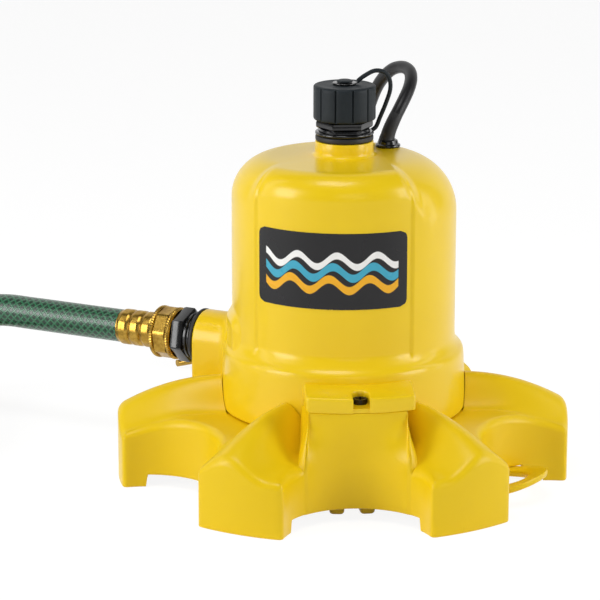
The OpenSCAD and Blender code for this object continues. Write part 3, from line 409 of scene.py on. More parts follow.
thread_z = np.linspace(32.2, 43.2, 80)
thread_r = 12.75 + 0.74 * (0.5 + 0.5 * np.cos(2 * np.pi * (thread_z - 32.2) / 2.2087))
coupling_profile = ([(5.5, 0.0), (7.5, 0.0), (7.5, 24.7), (14.6, 24.75), (15.4, 25.4), (15.4, 31.0),
                     (14.6, 31.65),
                     (12.7, 31.75)] + list(zip(thread_r, thread_z)) + [(12.4, 43.6), (5.6, 43.7),
                                                                       (5.5, 43.2)])
end_coupling = skin("male_hose_coupling", on_hose_end(turned(coupling_profile, 160, octagon_collar)),
                    yellow_brass, "root", "brass", ("end_coupling",), shut=False)
for name in ("swivel_ring", "hose_tail", "plug_blades"):
    nodes[name].data.materials.clear()
    nodes[name].data.materials.append(yellow_brass)

# ---- lower casing ----
# The six-legged base, one thin-walled moulding in tough yellow plastic: a flat deck, a rounded
# hump along each leg, round cuts between the legs, two upright screw panels and open feet.
# Moulded polypropylene: an even fine spark texture, soft broad gloss, faint flow and dust.
yellow_moulding = material("moulded yellow polypropylene", IOR=1.49, Specular_IOR_Level=0.3)
mottle(yellow_moulding, 1600.0, 2.0, bump=(0.10, 0.0002))
mottle(yellow_moulding, 14.0, 5.0, tones=("#e8c208", "#efcb12"), rough=(0.29, 0.37), grit=0.6)

cut_centre, cut_r, tip_r = 139.0, 43.4, 136.0
cut_len, half_len = 58.35, 86.55
pocket_r, casing_wall, panel_top = 73.6, 3.0, 66
ridge_top, ridge_r, ridge_start = 62, 126.4, 70
front_r = 100.0


def leg_outline(d, sector):
    """Plan of the base, d mm along it from the middle of a sector's cut: the cut's circle, then
    the circle of the leg tips, turned to the sector's azimuth, counted from the front."""
    a = np.clip(np.abs(d), 0, cut_len) / cut_r
    corner = math.atan2(cut_r * math.sin(cut_len / cut_r),
                        cut_centre - cut_r * math.cos(cut_len / cut_r))
    tip = corner + np.maximum(np.abs(d) - cut_len, 0) / tip_r
    on_cut = np.abs(d) <= cut_len
    out = np.where(on_cut, cut_centre - cut_r * np.cos(a), tip_r * np.cos(tip))
    side = np.where(on_cut, cut_r * np.sin(a), tip_r * np.sin(tip)) * np.sign(d)
    az = np.radians(60 * sector)
    return np.stack([out * np.sin(az) + side * np.cos(az), side * np.sin(az) - out * np.cos(az)])


def deck_height(r):
    """Height of the deck: straight lines through its heights at eight radii, under a running
    mean 10 mm wide."""
    at, to = [60, 90, 98, 105, 112, 120, 128, 136], [43, 43, 43, 42, 40, 37.6, 35.2, 33]
    return np.interp(np.clip(r[..., None] + np.linspace(-5, 5, 11), 60, 136), at, to).mean(-1)


def casing_height(x, y, panel):
    """Top surface: the deck, and on each leg a bell across it, half of one plus a cosine, up to
    the ridge, which falls outwards on an arc and leans away from the nearest screw panel;
    panel, 0 to 1, lifts it to the panel's top."""
    r, az = np.hypot(x, y), np.arctan2(x, -y)
    off = az % (np.pi / 3) - np.pi / 6
    lean = np.array([1, 0, -1, 1, 0, -1])[(np.floor(az / (np.pi / 3)).astype(int) + 3) % 6]
    out = r * np.cos(off)
    across = np.abs(r * np.sin(off) - 7.5 * lean * np.clip((out - 66) / 70, 0, 1))
    ridge = ridge_top - ridge_r + np.sqrt(ridge_r ** 2 - np.clip(out - ridge_start, 0, 66) ** 2)
    half = 21.5 + 4.5 * np.clip((out - 72) / 60, 0, 1)
    bell = 0.5 + 0.5 * np.cos(np.pi * np.clip(across / half, 0, 1))
    top = deck_height(r)
    beside = np.maximum(np.abs(x) - 30, 0)
    dip = 5 * np.exp(-(beside / 9) ** 2) * np.clip((np.abs(y) - 70) / 20, 0, 1)
    top = top + (ridge - top) * bell - dip
    return top + (panel_top - top) * panel


# The outline at quarter-millimetre steps, its corners rounded by a Gaussian mean 3 mm wide
half_steps = 342
fine = (np.arange(12 * half_steps) + 0.5) * half_len / half_steps
outline = leg_outline(fine % (2 * half_len) - half_len, fine // (2 * half_len))
shift = np.arange(-36, 37)
weight = np.exp(-(shift / 13.0) ** 2)
outline = sum(np.roll(outline, k, 1) * w for k, w in zip(shift, weight)) / weight.sum()

along = np.unique(np.concatenate([
    np.linspace(-half_len, half_len, 125)[:-1], np.linspace(-33, -29, 9), np.linspace(32.8, 36.8, 9),
    [-44.6, -44.2, -43.8, -43.4, 43.4, 43.8, 44.2, 44.6, -31.6, -31.1, 31.1, 31.6]]).round(3))
along = along[np.concatenate([np.diff(along) > 0.25, [True]])]
sector = np.repeat(np.arange(6), len(along))
along = np.tile(along, 6)
place = (along + half_len + sector * 2 * half_len) / (half_len / half_steps) - 0.5
edge = np.stack([np.interp(place, np.arange(-2, 12 * half_steps + 4),
                           np.concatenate([c[-2:], c, c[:4]])) for c in outline])
plain = np.sign(along) * np.interp(np.abs(along), [0, cut_len, half_len], [0, 19, 30])
beside = np.where(along < 0, np.interp(along, [-half_len, -cut_len, -30.6], [-30, -27, -22.5]),
                  np.interp(along, [34.7, cut_len, half_len], [25.0, 27.8, 30]))
inside = np.degrees(np.arcsin(np.clip(cut_r * np.sin(along / cut_r) / pocket_r, -1, 1)))
panelled = (sector == 0) | (sector == 3)
inner_az = np.where(~panelled, plain, np.where((along > -30.6) & (along < 34.7), inside, beside))
inner_az = np.radians(inner_az + 60 * sector)
panel = panelled * np.clip((along + 31.6) / 2.0, 0, 1) * np.clip((36.0 - along) / 2.6, 0, 1)
wall_bottom = 7.4 * (1 - np.clip((np.abs(along) - 43.5) / 1.0, 0, 1))
wall_bottom = np.where((sector == 1) & (np.abs(along) < 31.4), 10.7, wall_bottom)
run = np.roll(edge, -1, 1) - np.roll(edge, 1, 1)
inward = np.stack([-run[1], run[0]]) / np.linalg.norm(run, axis=0)
edge = edge - inward * 0.6 * panel


# The face of a screw panel: the round cut below, and towards its top an arc about the pump's axis
front_x = np.interp(cut_r * np.sin(along / cut_r),
                    [-28.9, -27.3, 30.2, 32.0], [-26.6, -26.0, 31.0, 31.6])
turned_by = np.radians(60 * sector)
front_v = np.sqrt(front_r ** 2 - front_x ** 2)
front = np.stack([front_v * np.sin(turned_by) + front_x * np.cos(turned_by),
                  front_x * np.sin(turned_by) - front_v * np.cos(turned_by)])


def at_inset(e, z=0.0):
    """The outline moved inwards by e mm along its normals; on a panel, from 36 mm up to 62 mm,
    eased over to the arc of its front."""
    lift = np.clip((z - 36) / 26, 0, 1)
    lift = panel * lift * lift * (3 - 2 * lift)
    return (edge + inward * e) * (1 - lift) + front * (1 - e / front_r) * lift


def ring_at(xy, z):
    """One row of the shell: plan coordinates and heights as points."""
    return np.stack([xy[0], xy[1], np.broadcast_to(z, xy[0].shape)], 1)


round_r = 4.2 - 3.2 * panel
hub = pocket_r * np.stack([np.sin(inner_az), -np.cos(inner_az)])
rim = casing_height(*at_inset(round_r), panel)
rows = [ring_at(0.948 * hub, 43.0), ring_at(0.998 * hub, 43.0)]
for t in np.linspace(0, 1, 40):
    xy = hub + (at_inset(round_r, rim) - hub) * t
    rows.append(ring_at(xy, casing_height(*xy, panel)))
for a in np.radians([12, 24, 36, 48, 60, 72, 82, 90]):
    xy = at_inset(round_r * (1 - math.sin(a)), rim)
    rows.append(ring_at(xy, casing_height(*xy, panel) - round_r * (1 - math.cos(a))))
rim_z = rows[-1][:, 2]
for t in np.linspace(0.05, 1, 18):
    z = rim_z + (wall_bottom + 0.8 - rim_z) * t
    rows.append(ring_at(at_inset(0, z), z))
for e, z in ((0.25, 0.25), (0.8, 0.0), (2.2, 0.0), (2.75, 0.25), (3.0, 0.8)):
    rows.append(ring_at(at_inset(e), wall_bottom + z))
roof = casing_height(*at_inset(casing_wall + 2, rim), panel) - casing_wall - 1.5
for t in np.linspace(0.08, 1, 12):
    z = wall_bottom + 0.8 + (roof - wall_bottom - 0.8) * t
    rows.append(ring_at(at_inset(casing_wall, z), z))
for t in np.linspace(0, 1, 14):
    xy = at_inset(casing_wall + 3.0, rim)
    xy = xy + (1.04 * hub - xy) * t
    rows.append(ring_at(xy, casing_height(*xy, panel) - casing_wall))
rows += [ring_at(1.035 * hub, 40.0), ring_at(0.95 * hub, 40.0)]
skin("six_legged_casing", np.stack(rows), yellow_moulding, "root", "yellow_casing",
     ("lower_casing",), shut=False, crease=40)

# ---- upper housing ----
# The motor's cover, a deep moulding in the same yellow with a smoother, polished skin: a round
# body with a domed top and an outlet neck, a shallow recess for the label whose upper edge is
# tighter than the dome's, a ledge above the skirt, and a raised pad around the side boss.
# Moulded ABS from a polished tool: a clear soft reflection over an even colour, with a very
# slight unevenness where the wall shrank.
yellow_shell = material("moulded yellow ABS", IOR=1.53, Specular_IOR_Level=0.3, Coat_Weight=0.2,
                        Coat_Roughness=0.12)
mottle(yellow_shell, 9.0, 4.0, tones=("#ebc60a", "#f2ce14"))
mottle(yellow_shell, 30.0, 1.0, bump=(0.12, 0.0006))
mottle(yellow_shell, 900.0, 2.0, rough=(0.26, 0.36), bump=(0.06, 0.0002))


def arc(cx, cz, r, start, stop, count):
    """Points of a circle's arc from one angle to another, in degrees."""
    a = np.radians(np.linspace(start, stop, count))
    return [(cx + r * math.cos(t), cz + r * math.sin(t)) for t in a]


body_r, flat_top, dome_top, inside_points = 66.8, 196.35, 196.15, 16
flare = smooth_route(
    [(66.8, 110), (66.8, 97), (66.8, 91), (67.0, 87.6), (67.8, 84.8), (69.2, 82.6), (70.7, 81.1),
     (71.8, 79.4), (72.3, 76.6), (72.5, 72), (72.8, 65), (73.1, 58), (73.3, 52), (73.3, 47.5)], 6)
housing_profile = np.array(
    [(13.2, 194.6), (13.2, 204.6), (13.6, 205.0), (16.5, 205.0), (17.1, 204.8), (17.3, 204.2),
     (17.3, 199.0)]
    + arc(19.9, 199.0, 2.6, 180, 268, 7) + [(26, 196.3), (30, 196.3), (34, 196.2), (37, 196.2)]
    + arc(38.2, 167.6, 28.6, 90, 0, 28) + [(body_r, z) for z in (160, 150, 140, 130, 120)]
    + [tuple(p) for p in flare] + arc(71.7, 45.2, 1.6, 0, -62, 7)
    + [(70.6, 43.2), (69.7, 43.2), (69.7, 60.0), (66.0, 62.0), (66.0, 78.0), (63.6, 92.0), (63.6, 168.0)]
    + arc(39.8, 169.2, 23.8, 0, 90, 8) + [(13.2, 193.0)])
close = np.linspace(-2.2, 2.2, 15)
angle = np.radians(np.unique(np.concatenate([np.arange(384) * 360 / 384 - 180, close - 144.4,
                                             close - 56.8]).round(3)))
within = 43.8 - np.abs(np.degrees(angle) + 100.6)


def ease(v):
    """Smooth step from 0 to 1: three times the square less twice the cube."""
    v = np.clip(v, 0, 1)
    return v * v * (3 - 2 * v)


pr, pz = housing_profile.T
radius, height = pr[:, None] + 0 * angle, pz[:, None] + 0 * angle
top = int(np.argmax((pr == 26) & (pz == 196.3)))
tight = ease((within + 9) / 14)
bend = (28.6 + 4.4 * np.cos(angle)) * (1 - tight) + 15.5 * tight
share = np.array([0.15, 0.4, 0.65, 0.9])[:, None]
radius[top:top + 4] = 21 + (45.8 - bend) * share
height[top:top + 4] = flat_top + (0.45 * np.cos(angle) - 0.2) * share
turn = np.radians(np.linspace(90, 0, 28))[:, None]
radius[top + 4:top + 32] = body_r - bend + bend * np.cos(turn)
height[top + 4:top + 32] = dome_top + 0.45 * np.cos(angle) + bend * (np.sin(turn) - 1)
row = np.arange(len(pz))
outer = row < len(pz) - inside_points
sunk = np.where(row < top, 0, ease((pz - 84) / 6) * outer)
sunk[top:top + 4], sunk[top + 4:top + 32] = 0, np.cos(turn[:, 0])
radius -= 1.15 * sunk[:, None] * ease(within / 2.6 + 0.5)
from_port = (np.degrees(angle) + 30) % 360 - 180
over = np.hypot(np.maximum(np.abs(from_port) * body_r * np.pi / 180 - 48, 0)[None, :],
                np.maximum(pz - 92.5, 0)[:, None])
pad = ease((12 - over) / 7) * 3.1
outside = (outer & (pz < 120))[:, None]
radius = np.where(outside & (pad > 0), np.maximum(radius, body_r + pad), radius)
on_housing = dict(body="root", slot="yellow_housing", stands_for=("upper_housing",))
skin("motor_housing_shell",
     np.stack([radius * np.cos(angle), radius * np.sin(angle), height], 2),
     yellow_shell, **on_housing, shut=False, crease=38)

# ---- side boss ----
# The arch that carries the side outlet, moulded with the housing: round on top, straight sides
# down to the deck, spreading into the pad on the body with a fillet.
boss_r, boss_low = 17.5, 43.3
half_arch = np.radians(np.linspace(0, 180, 41))
boss_y = np.concatenate([boss_r * np.cos(half_arch), np.full(12, -boss_r),
                         np.linspace(-boss_r, boss_r, 10)[1:-1],
                         np.full(12, boss_r)])
down = np.linspace(-2.2, boss_low - port_z, 12)
boss_up = np.concatenate([boss_r * np.sin(half_arch), down, np.full(8, down[-1]), down[::-1]])
rounding = [93.9, 94.35, 94.7, 94.93, 95.0]
boss_s = np.array([58, *range(66, 75), 75.5, 77, 80, 84, 88, 91, 93, *rounding])
fillet = 11 - np.sqrt(np.maximum(0, 11 ** 2 - np.clip(77.5 - boss_s, 0, 11) ** 2))
spread = np.minimum(np.where(boss_s < 77, fillet, 0.0), 8.5)
spread = spread - np.interp(boss_s, rounding, [0, 0.1, 0.33, 0.66, 1.0])
size_y = boss_y * (boss_r + spread[:, None]) / boss_r
size_up = np.where(boss_up > 0, boss_up * (boss_r + spread[:, None]) / boss_r, boss_up)
boss_rings = np.stack([-size_up, size_y, boss_s[:, None] + 0 * size_y], 2)
skin("side_outlet_boss", on_port(boss_rings), yellow_shell, **on_housing,
     flat_ends=True, crease=40)

# ---- ears ----
# Two blocks on the housing that sit on the screw panels: each has a notch, open at the front,
# with the housing screw at its foot, and softened edges. Their faces are left bare.
def facing(out, side, z, azimuth):
    """Points given by their distance outwards, sideways and up, turned to an azimuth in radians."""
    s, c = math.sin(azimuth), math.cos(azimuth)
    return np.stack([out * s + side * c, side * s - out * c, z + 0 * out], -1)


def ear_outline(inset):
    """Plan of an ear, counted from its azimuth: along its front, an arc about the pump's axis,
    down one side of the notch and round its end, up the other side, and back inside the body."""
    low, high, mid, half = -27.6 + inset, 35.6 - inset, 4.0, 4.75 + inset
    face, c = 100.8 - inset, 2.6
    left, right = np.linspace(low + c, mid - half, 24), np.linspace(mid + half, high - c, 24)
    bow = lambda y: np.sqrt(face ** 2 - y ** 2)
    turn = np.radians(np.linspace(-90, 90, 13))
    notch = np.stack([88.3 - half * np.cos(turn), mid + half * np.sin(turn)], 1)
    corner = np.radians(np.linspace(0, 90, 6))
    near, far = bow(low + c), bow(high - c)
    low_corner = np.stack([near - c + c * np.sin(corner), low + c - c * np.cos(corner)], 1)
    high_corner = np.stack([far - c + c * np.cos(corner), high - c + c * np.sin(corner)], 1)
    return np.vstack([[[58.0, low]], low_corner, np.stack([bow(left), left], 1)[1:], notch,
                      np.stack([bow(right), right], 1)[:-1], high_corner, [[58.0, high]]])


ear_rows = [(0.5, 66.0), (0.12, 66.15), (0.0, 66.6), (0.0, 69.0), (0.0, 71.5), (0.0, 73.6),
            (0.12, 74.2), (0.4, 74.65),
            (0.8, 74.9), (1.4, 75.0)]
tab = np.array([(84.0, -1.2), (99.9, -1.2), (99.8, 4.0), (99.5, 9.2), (84.0, 9.2)])
for name, azimuth in (("front_ear", 0), ("rear_ear", 180)):
    a = math.radians(azimuth)
    rows = [facing(*ear_outline(inset).T, z, a) for inset, z in ear_rows]
    skin(name, np.stack(rows), yellow_shell, **on_housing, flat_ends=True, crease=50)
    rows = [facing(*tab.T, z, a) for z in (66.1, 68.5)]
    skin(name + "_tab", np.stack(rows), yellow_shell, **on_housing, flat_ends=True, crease=50)

# ---- suction screen ----
# The plate under the pump, moulded in the base's plastic: short rounded teeth around its edge
# strain the water, and a loop on its right that curves up outwards is pulled to take it off.
plate_r, tooth_count = 87.5, 30
on_screen = dict(body="root", slot="yellow_casing", stands_for=("suction_screen",))
skin("screen_plate", turned(
    [(18, 8.6), (18.4, 8.1), (19, 8.0), (87.0, 8.0), (87.4, 8.3), (87.5, 9.2), (87.2, 10.2),
     (86.6, 10.5),
     (70, 10.5), (50, 10.5), (30, 10.5), (21, 10.5), (21, 18.9), (20.6, 19.0), (18.3, 19.0),
     (18, 18.6)], 240),
    yellow_moulding, **on_screen, shut=False)
tooth = []
for inset, z in ((1.6, 0.8), (0.7, 1.1), (0.15, 1.9), (0.0, 2.8), (0.0, 5.0), (0.0, 9.0)):
    w, d, c = 4.35 - inset, 4.5 - inset, 2.0
    a = np.radians(np.linspace(0, 90, 4))
    q = [(w - c + c * np.cos(a), d - c + c * np.sin(a)), (c - w - c * np.sin(a), d - c + c * np.cos(a)),
         (c - w - c * np.cos(a), c - d - c * np.sin(a)), (w - c + c * np.sin(a), c - d - c * np.cos(a))]
    side, out = np.concatenate(q, axis=1)
    tooth.append(np.stack([plate_r - 4.5 + out, side, z + 0 * side], 1))
tooth = np.stack(tooth)
for i in range(tooth_count):
    rows = facing(*np.moveaxis(tooth, 2, 0), 2 * math.pi * (i + 0.5) / tooth_count)
    skin(f"screen_tooth_{i + 1}", rows, yellow_moulding, **on_screen, flat_ends=True, crease=50)
loop = turned([(16.0, 7.3), (16.2, 6.8), (16.8, 6.5), (26.0, 6.5), (26.7, 6.8), (27.0, 7.5),
               (27.0, 9.5), (26.7, 10.2),
               (26.0, 10.5), (16.8, 10.5), (16.2, 10.2), (16.0, 9.7)], 96)
loop_at = 105 * np.array([math.sin(math.radians(60)), -math.cos(math.radians(60)), 0])
out = 105 + loop @ (loop_at / 105)
loop[:, :, 2] += 0.0065 * np.maximum(0, out - 98) ** 2
skin("screen_pull_loop", loop + loop_at, yellow_moulding, **on_screen, shut=False)

# ---- top outlet ----
# Black glass-filled nylon: a threaded adapter with a polished hexagon pressed on a rubber
# gasket, a ring for the tether, and a cap with eleven broad grips.
# Polished nylon: near black, a sharp reflection, hairline marks from handling.
gloss_nylon = material("polished black nylon", Base_Color=linear("#0c0d0f"), IOR=1.53,
                       Specular_IOR_Level=0.45, Coat_Weight=0.2, Coat_Roughness=0.08)
mottle(gloss_nylon, 350.0, 4.0, rough=(0.12, 0.26), bump=(0.08, 0.0002))
# Spark-textured nylon: slate black, dull, with a grain of about 0.6 mm, drawn coarser than it is.
matt_nylon = material("textured black nylon", IOR=1.5, Specular_IOR_Level=0.25)
mottle(matt_nylon, 1500.0, 3.0, rough=(0.42, 0.62), bump=(0.25, 0.0002))
mottle(matt_nylon, 90.0, 4.0, tones=("#141a1e", "#1f272c"))
# Nitrile rubber: black with a dry bloom, wholly dull.
nitrile = material("black nitrile rubber", IOR=1.52)
mottle(nitrile, 220.0, 5.0, tones=("#0e0e0f", "#222224"), rough=(0.45, 0.65))


def rounded_ring(r_out, r_in, low, high, c):
    """Profile of a ring with its four edges rounded by c."""
    return (arc(r_out - c, low + c, c, -90, 0, 5) + arc(r_out - c, high - c, c, 0, 90, 5)
            + arc(r_in + c, high - c, c, 90, 180, 5) + arc(r_in + c, low + c, c, 180, 270, 5))


skin("outlet_gasket_ring", turned(rounded_ring(17.2, 13.3, 205.05, 208.4, 1.0),
                                  120), nitrile, "root",
     "black_rubber", ("outlet_gasket",), shut=False)


def hexagon(low, high, twist):
    """Between two heights the radius is that of a hexagon, its half-width over the cosine to the
    nearest flat, held under a circle so that the corners are turned off; a circle elsewhere."""
    def lobes(angle, z):
        near = (angle - math.radians(twist)) % (np.pi / 3) - np.pi / 6
        flat = math.cos(np.pi / 6) / np.cos(near)
        flat = np.minimum(flat, 0.993)
        return np.where((z > low) & (z < high), flat, 1.0)
    return lobes


def male_thread(low, high, ridge, root, pitch=2.2087):
    """Profile of a thread drawn as rings one pitch apart: the radius between root and ridge is
    half of one plus a cosine of the height."""
    z = np.linspace(low, high, int((high - low) / pitch * 14))
    return list(zip(root + (ridge - root) * (0.5 + 0.5 * np.cos(2 * np.pi * (z - low) / pitch)), z))


adapter_profile = ([(9.5, 192.2), (13.1, 192.2), (13.1, 208.4), (14.9, 208.5), (15.0, 209.0),
                    (15.0, 211.2), (14.6, 211.9),
                    (14.6, 212.0), (15.2, 212.05), (16.6, 212.9), (17.0, 213.5), (17.0, 215.6),
                    (16.7, 216.5),
                    (15.3, 216.95), (13.2, 217.0)] + male_thread(217.4, 232.4, 13.45, 12.7)
                   + [(12.4, 232.9), (9.9, 233.0), (9.5, 232.6)])
skin("top_outlet_adapter", turned(adapter_profile, 240, hexagon(212.02, 216.98, 62)),
     gloss_nylon, "root",
     "gloss_black", ("outlet_adapter",), shut=False, crease=28)
skin("tether_neck_ring", turned(rounded_ring(17.4, 15.05, 208.6, 210.6, 0.9), 120),
     gloss_nylon, "root",
     "black_plastic", ("tether_ring",), shut=False)


def grips(angle, z):
    """Eleven flats with narrow grooves between them: inside each eleventh of the turn the radius
    is a shallow crown, and a smooth notch 0.055 of it deep lies between neighbours."""
    step = 2 * np.pi / 11
    near = np.abs((angle - math.radians(4)) % step - step / 2)
    near = step / 2 - near
    share = np.clip((near - 0.43 * step) / (0.07 * step), 0, 1)
    bow = 1 - 0.010 * (near / (0.43 * step)) ** 2
    groove = 0.055 * share * share * (3 - 2 * share)
    side = np.clip((z - 217.9) / 0.5, 0, 1) * np.clip((237.6 - z) / 0.7, 0, 1)
    return np.where(z > 216, 1 - (1 - bow + groove) * side, 1.0)


grip_z = np.linspace(218.6, 236.9, 10)
cap_outside = ([(13.85, 217.6), (17.2, 217.55), (17.9, 217.8), (18.3, 218.2)]
               + [(18.45, z) for z in grip_z]
               + [(18.35, 237.1), (18.1, 237.5), (17.6, 237.9), (17.0, 238.1), (16.0, 238.1),
                  (15.4, 237.95), (11, 237.9),
                  (9.0, 237.95), (8.4, 238.1), (4.0, 238.1), (2.8, 238.2), (2.75, 239.5),
                  (4.5, 239.75), (4.8, 240.1),
                  (4.6, 240.6), (3.6, 240.95), (1.5, 241.0)])
cap_turn_points = 11 * 40
cap_rings = turned(cap_outside, cap_turn_points, grips)
cap_inside = turned([(1.5, 235.9), (13.7, 235.9), (13.85, 235.7), (13.85, 218.0)], cap_turn_points)
skin("outlet_cap_moulding", np.concatenate([cap_rings, cap_inside]), matt_nylon, "cap",
     "black_plastic",
     ("outlet_cap",), shut=False, crease=32)
skin("outlet_cap_button_top", turned([(1.7, 235.95), (1.7, 238.0), (1.6, 240.9),
                                      (1.2, 241.05), (0.5, 241.1)], 32),
     matt_nylon, "cap", "black_plastic", ("outlet_cap",), flat_ends=True)
skin("tether_cap_eyelet", turned(rounded_ring(7.2, 3.1, 238.4, 239.4, 0.45), 96),
     gloss_nylon, "cap_carrier",
     "black_plastic", ("tether_eyelet",), shut=False)

# ---- cap tether ----
# A moulded strap of soft polyethylene, round in section, from the ring on the neck up over the
# side of the cap to the eyelet on its button.
tether_route = [[16.6, 5.3, 209.6], [19.2, 5.9, 211.7], [21.4, 5.8, 217.1], [24.6, 5, 225.3],
                [27.2, 4, 234.1],
                [26.6, 3, 240.7], [23.4, 2, 244.9], [17.6, 1, 245.9], [11.4, 0.4, 242.9],
                [7.5, 0, 239.9]]
tether_path = smooth_route(tether_route, 10)
tether_d = 2.6
tether = skin("cap_tether_strap", tube_rings(tether_path, tether_d / 2, 16, [0.953, 0.303, 0],
                                             [-1, 0, 0]),
              matt_nylon, None, "black_plastic", ("cap_tether",))
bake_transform(tether)

# ---- side outlet ----
# The same adapter as on top, in the same polished nylon, in the boss: a rubber gasket, a neck
# with two turned ridges, a hexagon and the thread that the brass nut runs on.
skin("port_gasket_ring", on_port(turned(rounded_ring(17.7, 13.3, 95.05, 97.4, 0.9),
                                        120)), nitrile, "root",
     "black_rubber", ("port_gasket",), shut=False)
bead = [(14.2 + 0.8 * math.sin(math.pi * k / 6), 1.4 * k / 6) for k in range(7)]
port_profile = ([(9.5, 82.2), (13.1, 82.2), (13.1, 97.4), (14.0, 97.55), (14.2, 97.9)]
                + [(r, 98.05 + z) for r, z in bead] + [(14.1, 99.9)] + [(r, 100.3 + z) for r, z in bead]
                + [(14.2, 102.8), (15.3, 103.05), (16.7, 103.6), (17.0, 104.2), (17.0, 109.9),
                   (16.6, 111.0), (15.3, 111.55),
                   (13.2, 111.6)] + male_thread(111.9, 120.4, 13.45, 12.7) + [(12.5, 120.95),
                                                                              (9.9, 121.1), (9.5, 120.7)])
skin("side_outlet_adapter",
     on_port(turned(port_profile, 240, hexagon(103.02, 111.57, 12))), gloss_nylon,
     "root", "gloss_black", ("port_adapter",), shut=False, crease=28)

# ---- cord gland ----
# Where the lead enters the dome: a polished flange, a tapered body, and a soft sleeve that
# thins along the lead and takes its bend.
gland_at = np.array([27.5, 21.0, 0.0])
skin("cord_gland_body", turned(
    [(3.6, 193.0), (4.8, 193.0), (4.9, 196.2), (7.3, 196.5), (7.55, 196.9), (7.6, 197.5),
     (7.3, 198.1), (6.7, 198.4),
     (6.3, 198.6), (6.2, 199.2), (6.0, 200.0), (5.7, 200.7), (5.0, 201.0), (3.95, 201.0)],
    72) + gland_at,
    gloss_nylon, "root", "black_rubber", ("cord_gland",), shut=False)
sleeve_n = 16
sleeve_r = np.interp(np.arange(sleeve_n), [0, 1, 3, 6, 11, 15], [4.9, 4.7, 4.35, 4.2, 4.05, 3.88])
sleeve_rings = tube_rings(cord_path[:sleeve_n], sleeve_r, 32, [0, 0, 1],
                          cord_path[sleeve_n] - cord_path[sleeve_n - 1])
skin("cord_strain_relief", sleeve_rings, nitrile, "root", "black_rubber", ("cord_gland",))

# ---- label ----
# Printed polyester film on the front of the housing, with rounded corners. It carries no words:
# a plain pattern of waves in white, blue and amber on black, which stop short of its ends.
label_mid = math.radians(-11.0)
half_w, half_h, corner_r, film_z = 47.15, 22.5, 4.5, 140.65
across_n, up_n = 97, 33
u_grid, v_grid = np.meshgrid(np.linspace(-1, 1, across_n), np.linspace(-1, 1, up_n))
x, z = u_grid * half_w, v_grid * half_h
shrink_x = np.maximum(np.abs(z) - (half_h - corner_r), 0)
limit = half_w - corner_r + np.sqrt(np.maximum(corner_r ** 2 - shrink_x ** 2, 0))
x = np.sign(x) * np.minimum(np.abs(x) * limit / half_w, limit)
front = []
for r in (65.96, 65.68):
    az = label_mid + x / 65.9
    front.append(np.stack([r * np.sin(az), -r * np.cos(az), film_z + z], 2))
index = np.arange(across_n * up_n).reshape(up_n, across_n)
border = np.concatenate([index[0], index[1:, -1], index[-1, -2::-1], index[-2:0:-1, 0]])
points = np.concatenate([f.reshape(-1, 3) for f in front]) / 1000
faces = np.stack([index[:-1, :-1], index[:-1, 1:], index[1:, 1:], index[1:, :-1]], 2).reshape(-1, 4)
after = np.roll(border, -1)
faces = np.concatenate([faces, faces[:, ::-1] + index.size,
                        np.stack([border, border + index.size, after + index.size, after], 1)])
mesh = bpy.data.meshes.new("wave_label")
mesh.from_pydata(points.tolist(), [], faces.tolist())
layer = mesh.uv_layers.new(name="UVMap")
flat = np.stack([np.tile(x.ravel(), 2), np.tile(z.ravel(), 2)], 1)[faces.ravel()] / 10
layer.data.foreach_set("uv", flat.astype(np.float32).ravel())
mesh.shade_smooth()
mesh.set_sharp_from_angle(angle=math.radians(40))
# Glossy printed film: flat ink colours under a clear layer, a little rippled by the wall.
film = material("printed polyester film", IOR=1.5, Specular_IOR_Level=0.3, Coat_Weight=0.2,
                Coat_Roughness=0.06)
where = add(film, "ShaderNodeUVMap", uv_map="UVMap")
split = add(film, "ShaderNodeSeparateXYZ", {"Vector": where.outputs["UV"]})
shade = linear("#131214")
colour = None
swing, wave_length = 0.34, 2.35
for height, phase, width, ink in ((0.62, 0.4, 0.20, "#f2f2f0"), (-0.05, 1.0, 0.24, "#3fa7c4"),
                                  (-0.78, 1.6, 0.24, "#f0b01c")):
    turn = add(film, "ShaderNodeMath", {0: split.outputs["X"], 1: 2 * math.pi / wave_length,
                                        2: phase}, operation="MULTIPLY_ADD")
    wave = add(film, "ShaderNodeMath", {0: turn.outputs[0]}, operation="SINE")
    crest = add(film, "ShaderNodeMath", {0: wave.outputs[0], 1: swing, 2: height},
                operation="MULTIPLY_ADD")
    away = add(film, "ShaderNodeMath", {0: split.outputs["Y"], 1: crest.outputs[0]},
               operation="SUBTRACT")
    away = add(film, "ShaderNodeMath", {0: away.outputs[0]}, operation="ABSOLUTE")
    band = add(film, "ShaderNodeMapRange", {"Value": away.outputs[0], "From Min": width + 0.02,
                                            "From Max": width - 0.02})
    reach = add(film, "ShaderNodeMath", {0: split.outputs["X"]}, operation="ABSOLUTE")
    inside_x = add(film, "ShaderNodeMapRange", {"Value": reach.outputs[0], "From Min": 4.14,
                                                "From Max": 4.10})
    band = add(film, "ShaderNodeMath", {0: band.outputs[0], 1: inside_x.outputs[0]},
               operation="MULTIPLY")
    inputs = {"Factor": band.outputs[0], 7: linear(ink)}
    inputs[6] = shade if colour is None else colour.outputs[2]
    colour = add(film, "ShaderNodeMix", inputs, data_type="RGBA")
feed(film, Base_Color=colour.outputs[2])
mottle(film, 40.0, 4.0, rough=(0.20, 0.34), bump=(0.1, 0.0004))
mesh.materials.append(film)
label = bpy.data.objects.new("wave_label", mesh)
bpy.context.scene.collection.objects.link(label)
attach(label, "root")
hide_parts("body_label")

# ---- motor, pump and fasteners ----
# The parts inside and the small metal ones keep the shapes of the frame: each takes the finish of
# what it is made of, except the outside screws, whose colour is darkened as painted shade.
# Zinc-plated and rolled steel: cool grey, a soft sheen.
plated_steel = material("zinc-plated steel", Metallic=1.0)
mottle(plated_steel, 240.0, 5.0, tones=("#a9adb2", "#cfd2d4"), rough=(0.26, 0.46))
